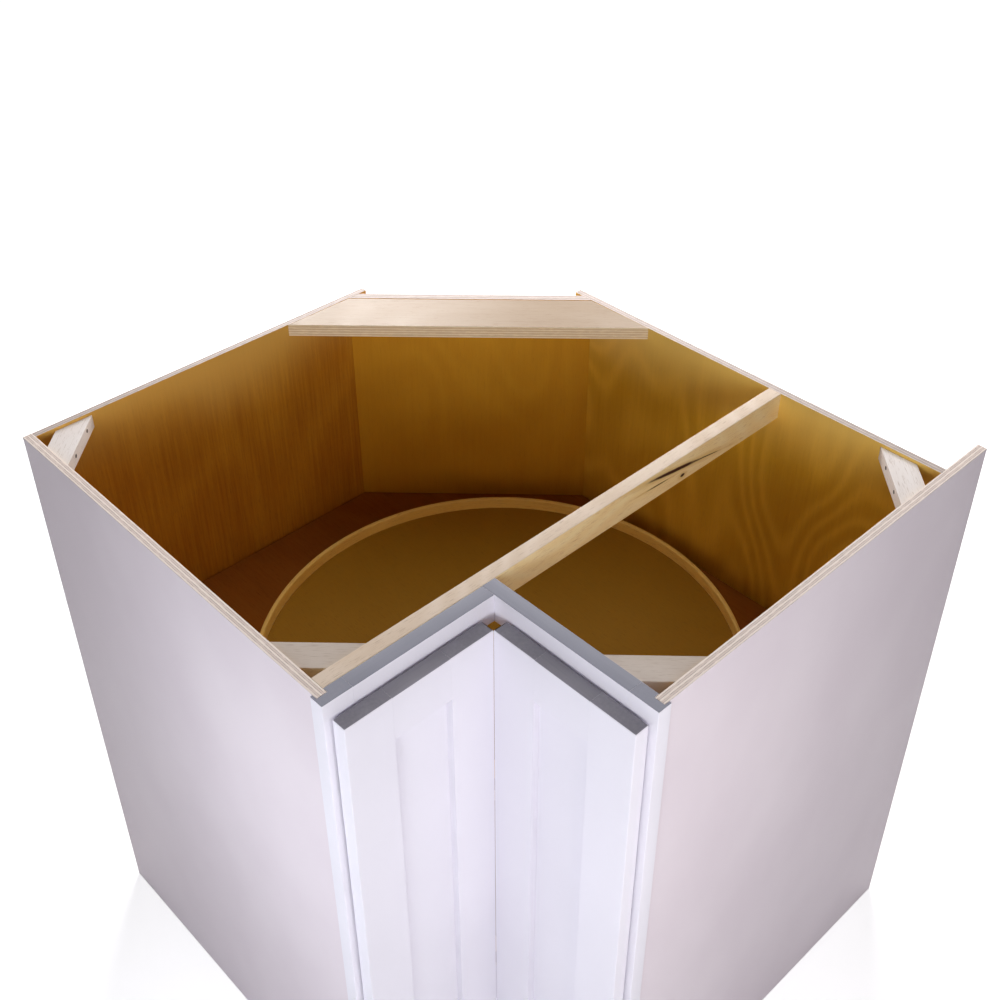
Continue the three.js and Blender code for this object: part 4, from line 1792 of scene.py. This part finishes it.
@dataclass
class Kidney:
    """The outline of a tray: a disc with a rounded notch towards the doors."""

    centre: np.ndarray
    radius: float
    notch: float
    shoulder: float = 0.070
    fillet: float = 0.040
    step: float = math.radians(1.5)

    def arc(self, middle: np.ndarray, radius: float, start: float, end: float) -> np.ndarray:
        """Points on a circle: middle + radius (cos t, sin t), for t from start to end.

        Args:
            middle: the circle's middle.
            radius: its radius.
            start: the first angle.
            end: the last angle.

        Returns:
            The points as an (n, 2) array.
        """
        steps = max(3, math.ceil(abs(end - start) / self.step))
        t = np.linspace(start, end, steps + 1)
        return middle + radius * np.stack([np.cos(t), np.sin(t)], axis=1)

    def outline(self, inset: float) -> np.ndarray:
        """The outline moved in by inset.

        The disc's arc runs into a shoulder arc on each side of the notch, and the two shoulders
        meet the fillet in the notch's inner corner on straight lines.

        Args:
            inset: how far the outline moves in.

        Returns:
            The points, anticlockwise.
        """
        edge = self.notch
        lobe_x = edge - self.shoulder
        lobe = np.array([lobe_x, -math.sqrt((self.radius - self.shoulder) ** 2 - lobe_x**2)])
        other = np.array([-lobe[1], -lobe[0]])
        deep = edge + self.fillet
        lobe_angle = math.atan2(lobe[1], lobe[0])
        other_angle = math.atan2(other[1], other[0])
        parts = [
            self.arc(np.zeros(2), self.radius - inset, other_angle, lobe_angle + 2 * math.pi)[:-1],
            self.arc(lobe, self.shoulder - inset, lobe_angle, 0.0),
            self.arc(np.array([deep, -deep]), self.fillet + inset, math.pi, math.pi / 2),
            self.arc(other, self.shoulder - inset, -math.pi / 2, other_angle)[:-1],
        ]
        return self.centre + np.concatenate(parts)


@dataclass
class Tray:
    """One kidney-shaped tray: a plywood floor in a bent rim, on its turning ring."""

    level: Level
    notch_plane: float = 0.150
    rim_thickness: float = 0.00635
    joint: float = 0.0001
    ring_hole: float = 0.120
    ring_web: float = 0.002
    ring_lip: float = 0.003
    ring_ease: float = 0.0006
    floor_plies: int = 5
    floor_arris: float = 0.0005
    rim_foot_ease: float = 0.0006
    rim_top_ease: float = 0.0022

    def build(self) -> None:
        """Builds the floor, the rim and both bearing rings."""
        name = self.level.value
        low, high = node_box(f"{name}_tray_rim")
        centre = ((low + high) / 2)[:2]
        kidney = Kidney(centre, float(high[0] - low[0]) / 2, self.notch_plane - float(centre[0]))
        self.floor(kidney)
        self.rim(kidney, float(low[2]), float(high[2]))
        self.ring(f"{name}_bearing_top_ring", f"{name}_tray", False)
        self.ring(f"{name}_bearing_base_ring", "cabinet", True)

    def floor(self, kidney: Kidney) -> None:
        """The flat floor inside the rim.

        Args:
            kidney: the tray's outline.
        """
        node = f"{self.level.value}_tray_floor"
        low, high = node_box(node)
        outline = kidney.outline(self.rim_thickness + self.joint)
        surface = carried(
            outline, (float(low[2]), float(high[2])), LEVEL, (0, 1, 2), (self.floor_arris, self.floor_arris),
            41.0 + 2.0 * (self.level is Level.LOWER),
        )
        edge = ply_edge("tray_floor_edge", float(high[2] - low[2]), self.floor_plies)
        skins = [Skin(edge), upward(TRAY_VENEER), Skin(TRAY_VENEER, (0.0, 0.0, -1.0))]
        add_piece(f"{node}.ply", surface, skins, f"{self.level.value}_tray", [node])

    def rim(self, kidney: Kidney, base: float, top: float) -> None:
        """The bent rim: a rounded strip wound round the outline.

        Args:
            kidney: the tray's outline.
            base: the height of its lower edge.
            top: the height of its upper edge.
        """
        node = f"{self.level.value}_tray_rim"
        t, h = self.rim_thickness, top - base
        box = np.array([[-t, 0.0], [0.0, 0.0], [0.0, h], [-t, h]])
        eases = np.array([self.rim_foot_ease, self.rim_foot_ease, self.rim_top_ease, self.rim_top_ease])
        section = eased(box, eases, 4)
        surface = wound(kidney.outline(0.0), section, base)
        add_piece(f"{node}.band", surface, [Skin(RIM_VENEER)], f"{self.level.value}_tray", [node])

    def ring(self, node: str, body: str, is_base: bool) -> None:
        """A pressed bearing ring: a flat web with one lip.

        Args:
            node: the CAD node's name.
            body: the CAD body that it rides on.
            is_base: true for the lower ring, whose lip stands at its outer edge.
        """
        low, high = node_box(node)
        centre = (low + high) / 2
        height = float(high[2] - low[2])
        outer = float(high[0] - low[0]) / 2
        inner, web, lip = self.ring_hole, self.ring_web, self.ring_lip
        if is_base:
            rows = [[inner, 0], [outer, 0], [outer, height], [outer - lip, height],
                    [outer - lip, web], [inner, web]]
        else:
            rows = [[inner, 0], [inner + lip, 0], [inner + lip, height - web], [outer, height - web],
                    [outer, height], [inner, height]]
        profile = eased(np.array(rows, float), np.full(6, self.ring_ease), 2)
        foot = (float(centre[0]), float(centre[1]), float(low[2]))
        surface = turned(profile, foot, Axis.Z.unit, 96, True)
        add_piece(f"{node}.ring", surface, [Skin(STEEL)], body, [node])


# ---- studio ------------------------------------------------------------------


@dataclass
class Lamp:
    """A soft rectangular lamp that looks at a point."""

    name: str
    place: Point
    target: Point
    size: float
    watts: float
    colour: Colour = (1.0, 1.0, 1.0)

    def build(self) -> None:
        """Makes the lamp and turns it to its target."""
        data = bpy.data.lights.new(self.name, "AREA")
        data.shape = "SQUARE"
        data.size = self.size
        data.energy = self.watts
        data.color = self.colour
        lamp = bpy.data.objects.new(self.name, data)
        lamp.visible_camera = False
        bpy.context.scene.collection.objects.link(lamp)
        back = np.array(self.place) - np.array(self.target)
        lamp.matrix_world = looking(np.array(self.place), back, np.array([0.0, 0.0, 1.0]))


def background_rays(graph: Graph) -> NodeSocket:
    """Is 1 where the camera, a gloss or a clear piece sees a surface, and 0 for its light.

    Args:
        graph: the material's or the world's graph.

    Returns:
        The mask's socket.
    """
    path = graph.add("ShaderNodeLightPath")
    seen = graph.math("MAXIMUM", path.outputs["Is Camera Ray"], path.outputs["Is Glossy Ray"])
    return graph.math("MAXIMUM", seen, path.outputs["Is Transmission Ray"])


def looking(place: np.ndarray, back: np.ndarray, up: np.ndarray) -> Matrix:
    """The matrix of a lamp or camera whose back points along back.

    Args:
        place: where it stands.
        back: the direction away from what it looks at.
        up: roughly up.

    Returns:
        Its world matrix.
    """
    z = back / np.linalg.norm(back)
    x = np.cross(up, z)
    x /= np.linalg.norm(x)
    y = np.cross(z, x)
    matrix = np.eye(4)
    matrix[:3, 0], matrix[:3, 1], matrix[:3, 2], matrix[:3, 3] = x, y, z, place
    return Matrix(matrix.tolist())


@dataclass
class Studio:
    """The white floor, the white surround, soft lamps and the photograph's camera."""

    lamps: tuple[Lamp, ...] = (
        Lamp("left_side_lamp", (0.12, -0.90, 0.64), (0.50, -0.35, 0.44), 0.45, 1.5, (0.88, 0.93, 1.0)),
        Lamp("corner_lamp", (1.39, -1.42, 1.27), (0.05, -0.05, 0.55), 0.6, 7.4, (0.98, 0.98, 1.0)),
        Lamp("door_left_lamp", (0.91, -1.78, 1.15), (0.34, -0.22, 0.60), 0.5, 6.8, (0.93, 0.96, 1.0)),
        Lamp("door_right_lamp", (1.25, -0.42, 0.98), (0.25, -0.12, 0.60), 0.35, 1.0, (0.98, 0.98, 1.0)),
        Lamp("right_side_lamp", (1.05, -0.32, 0.72), (0.40, -0.32, 0.46), 0.5, 2.1, (1.0, 0.96, 0.96)),
        Lamp("far_right_lamp", (2.4, 0.0, 1.6), (-0.3, 0.0, 0.8), 0.8, 3.8, (1.0, 0.95, 0.94)),
        Lamp("far_left_lamp", (0.3, -2.6, 1.75), (0.0, 0.3, 0.8), 0.8, 3.5, (1.0, 0.94, 0.93)),
        Lamp("back_left_lamp", (-1.30, 0.75, 1.55), (-0.2, 0.2, 0.876), 0.6, 21.0, (1.0, 0.98, 0.98)),
        Lamp("back_right_lamp", (-0.60, 1.40, 1.60), (-0.1, 0.3, 0.876), 0.6, 17.0, (1.0, 0.98, 0.98)),
        Lamp("top_lamp", (-0.50, 0.50, 2.4), (-0.1, 0.1, 0.8), 1.2, 9.0, (1.0, 0.98, 0.96)),
    )
    ambient: float = 0.04
    floor_glow: float = 0.58
    glow_span: tuple[float, float] = (0.6, 1.9)
    floor_reach: float = 40.0
    sensor_mm: float = 36.0
    focal_px: float = 1313.74
    picture_px: float = 1000.0
    axis_px: tuple[float, float] = (492.47, 439.59)
    eye: Point = (0.93847, -0.89261, 1.82622)
    right: Point = (0.68698, 0.72666, -0.00588)
    up: Point = (-0.4245, 0.40786, 0.80836)

    def build(self) -> None:
        """Builds the surround, the floor, the lamps and the camera."""
        self.surround()
        self.floor()
        for lamp in self.lamps:
            lamp.build()
        self.camera()

    def surround(self) -> None:
        """White where the camera, a gloss or a clear piece sees it, and a soft light elsewhere."""
        world = bpy.data.worlds.new("white_surround")
        bpy.context.scene.world = world
        world.use_nodes = True
        graph = Graph(world.node_tree)
        world.node_tree.nodes.clear()
        output = graph.add("ShaderNodeOutputWorld")
        soft = graph.add("ShaderNodeBackground")
        soft.inputs["Color"].default_value = (0.97, 0.97, 1.0, 1.0)
        soft.inputs["Strength"].default_value = self.ambient
        white = graph.add("ShaderNodeBackground")
        white.inputs["Color"].default_value = (1.0, 1.0, 1.0, 1.0)
        white.inputs["Strength"].default_value = 1.0
        choose = graph.add("ShaderNodeMixShader")
        graph.feed(choose.inputs[0], background_rays(graph))
        graph.feed(choose.inputs[1], soft.outputs[0])
        graph.feed(choose.inputs[2], white.outputs[0])
        graph.feed(output.inputs["Surface"], choose.outputs[0])

    def floor(self) -> None:
        """A broad pale floor that shows white in the open and keeps the cabinet's shadow."""
        mesh = bpy.data.meshes.new("studio_floor")
        r = self.floor_reach
        mesh.from_pydata([(-r, -r, 0), (r, -r, 0), (r, r, 0), (-r, r, 0)], [], [(0, 1, 2, 3)])
        floor = bpy.data.objects.new("studio_floor", mesh)
        bpy.context.scene.collection.objects.link(floor)
        material = bpy.data.materials.new("studio_floor")
        material.use_nodes = True
        graph = Graph(material.node_tree)
        shader = material.node_tree.nodes["Principled BSDF"]
        place = graph.add("ShaderNodeTexCoord").outputs["Object"]
        cloud = graph.noise(graph.stretch(place, (1.2, 1.2, 1.2)), 3.0)
        graph.feed(shader.inputs["Base Color"], graph.mix(cloud, (0.80, 0.80, 0.81), (0.84, 0.84, 0.85)))
        shader.inputs["Roughness"].default_value = 0.8
        away = graph.add("ShaderNodeVectorMath", operation="LENGTH")
        graph.feed(away.inputs[0], place)
        far = graph.smooth(away.outputs["Value"], *self.glow_span)
        glow = graph.add("ShaderNodeEmission")
        strength = graph.math("MULTIPLY_ADD", far, 1.0 - self.floor_glow, self.floor_glow)
        graph.feed(glow.inputs["Strength"], strength)
        shown = graph.add("ShaderNodeMixShader")
        dark = graph.add("ShaderNodeEmission")
        dark.inputs["Strength"].default_value = 0.0
        graph.feed(shown.inputs[0], background_rays(graph))
        graph.feed(shown.inputs[1], dark.outputs[0])
        graph.feed(shown.inputs[2], glow.outputs[0])
        total = graph.add("ShaderNodeAddShader")
        graph.feed(total.inputs[0], shader.outputs[0])
        graph.feed(total.inputs[1], shown.outputs[0])
        graph.feed(material.node_tree.nodes["Material Output"].inputs["Surface"], total.outputs[0])
        mesh.materials.append(material)

    def camera(self) -> None:
        """The photograph's camera: its place, its turn and its lens.

        The lens is shifted so that its axis meets the picture at axis_px.
        """
        data = bpy.data.cameras.new("photo_camera")
        data.sensor_width = self.sensor_mm
        data.lens = self.sensor_mm * self.focal_px / self.picture_px
        data.shift_x = (self.picture_px / 2 - self.axis_px[0]) / self.picture_px
        data.shift_y = (self.axis_px[1] - self.picture_px / 2) / self.picture_px
        data.clip_start, data.clip_end = 0.05, 200.0
        camera = bpy.data.objects.new("photo_camera", data)
        bpy.context.scene.collection.objects.link(camera)
        right, up = np.array(self.right), np.array(self.up)
        camera.matrix_world = looking(np.array(self.eye), np.cross(right, up), up)
        bpy.context.scene.camera = camera
        bpy.context.scene.view_settings.view_transform = "Standard"


def main() -> None:
    """Builds the cabinet's sub-assemblies in order, then the studio."""
    logging.basicConfig(level=logging.INFO, format="%(name)s: %(message)s")
    assemblies = [
        FaceFrame(), EndPanels(), BackWalls(), Decks(), TopMembers(), ToeKick(), Door(Side.LEFT),
        Door(Side.RIGHT), Hinges(), Tray(Level.UPPER), Tray(Level.LOWER), Studio(),
    ]
    for assembly in assemblies:
        assembly.build()
        LOG.info("%s is built", type(assembly).__name__)


if __name__ == "__main__":
    main()
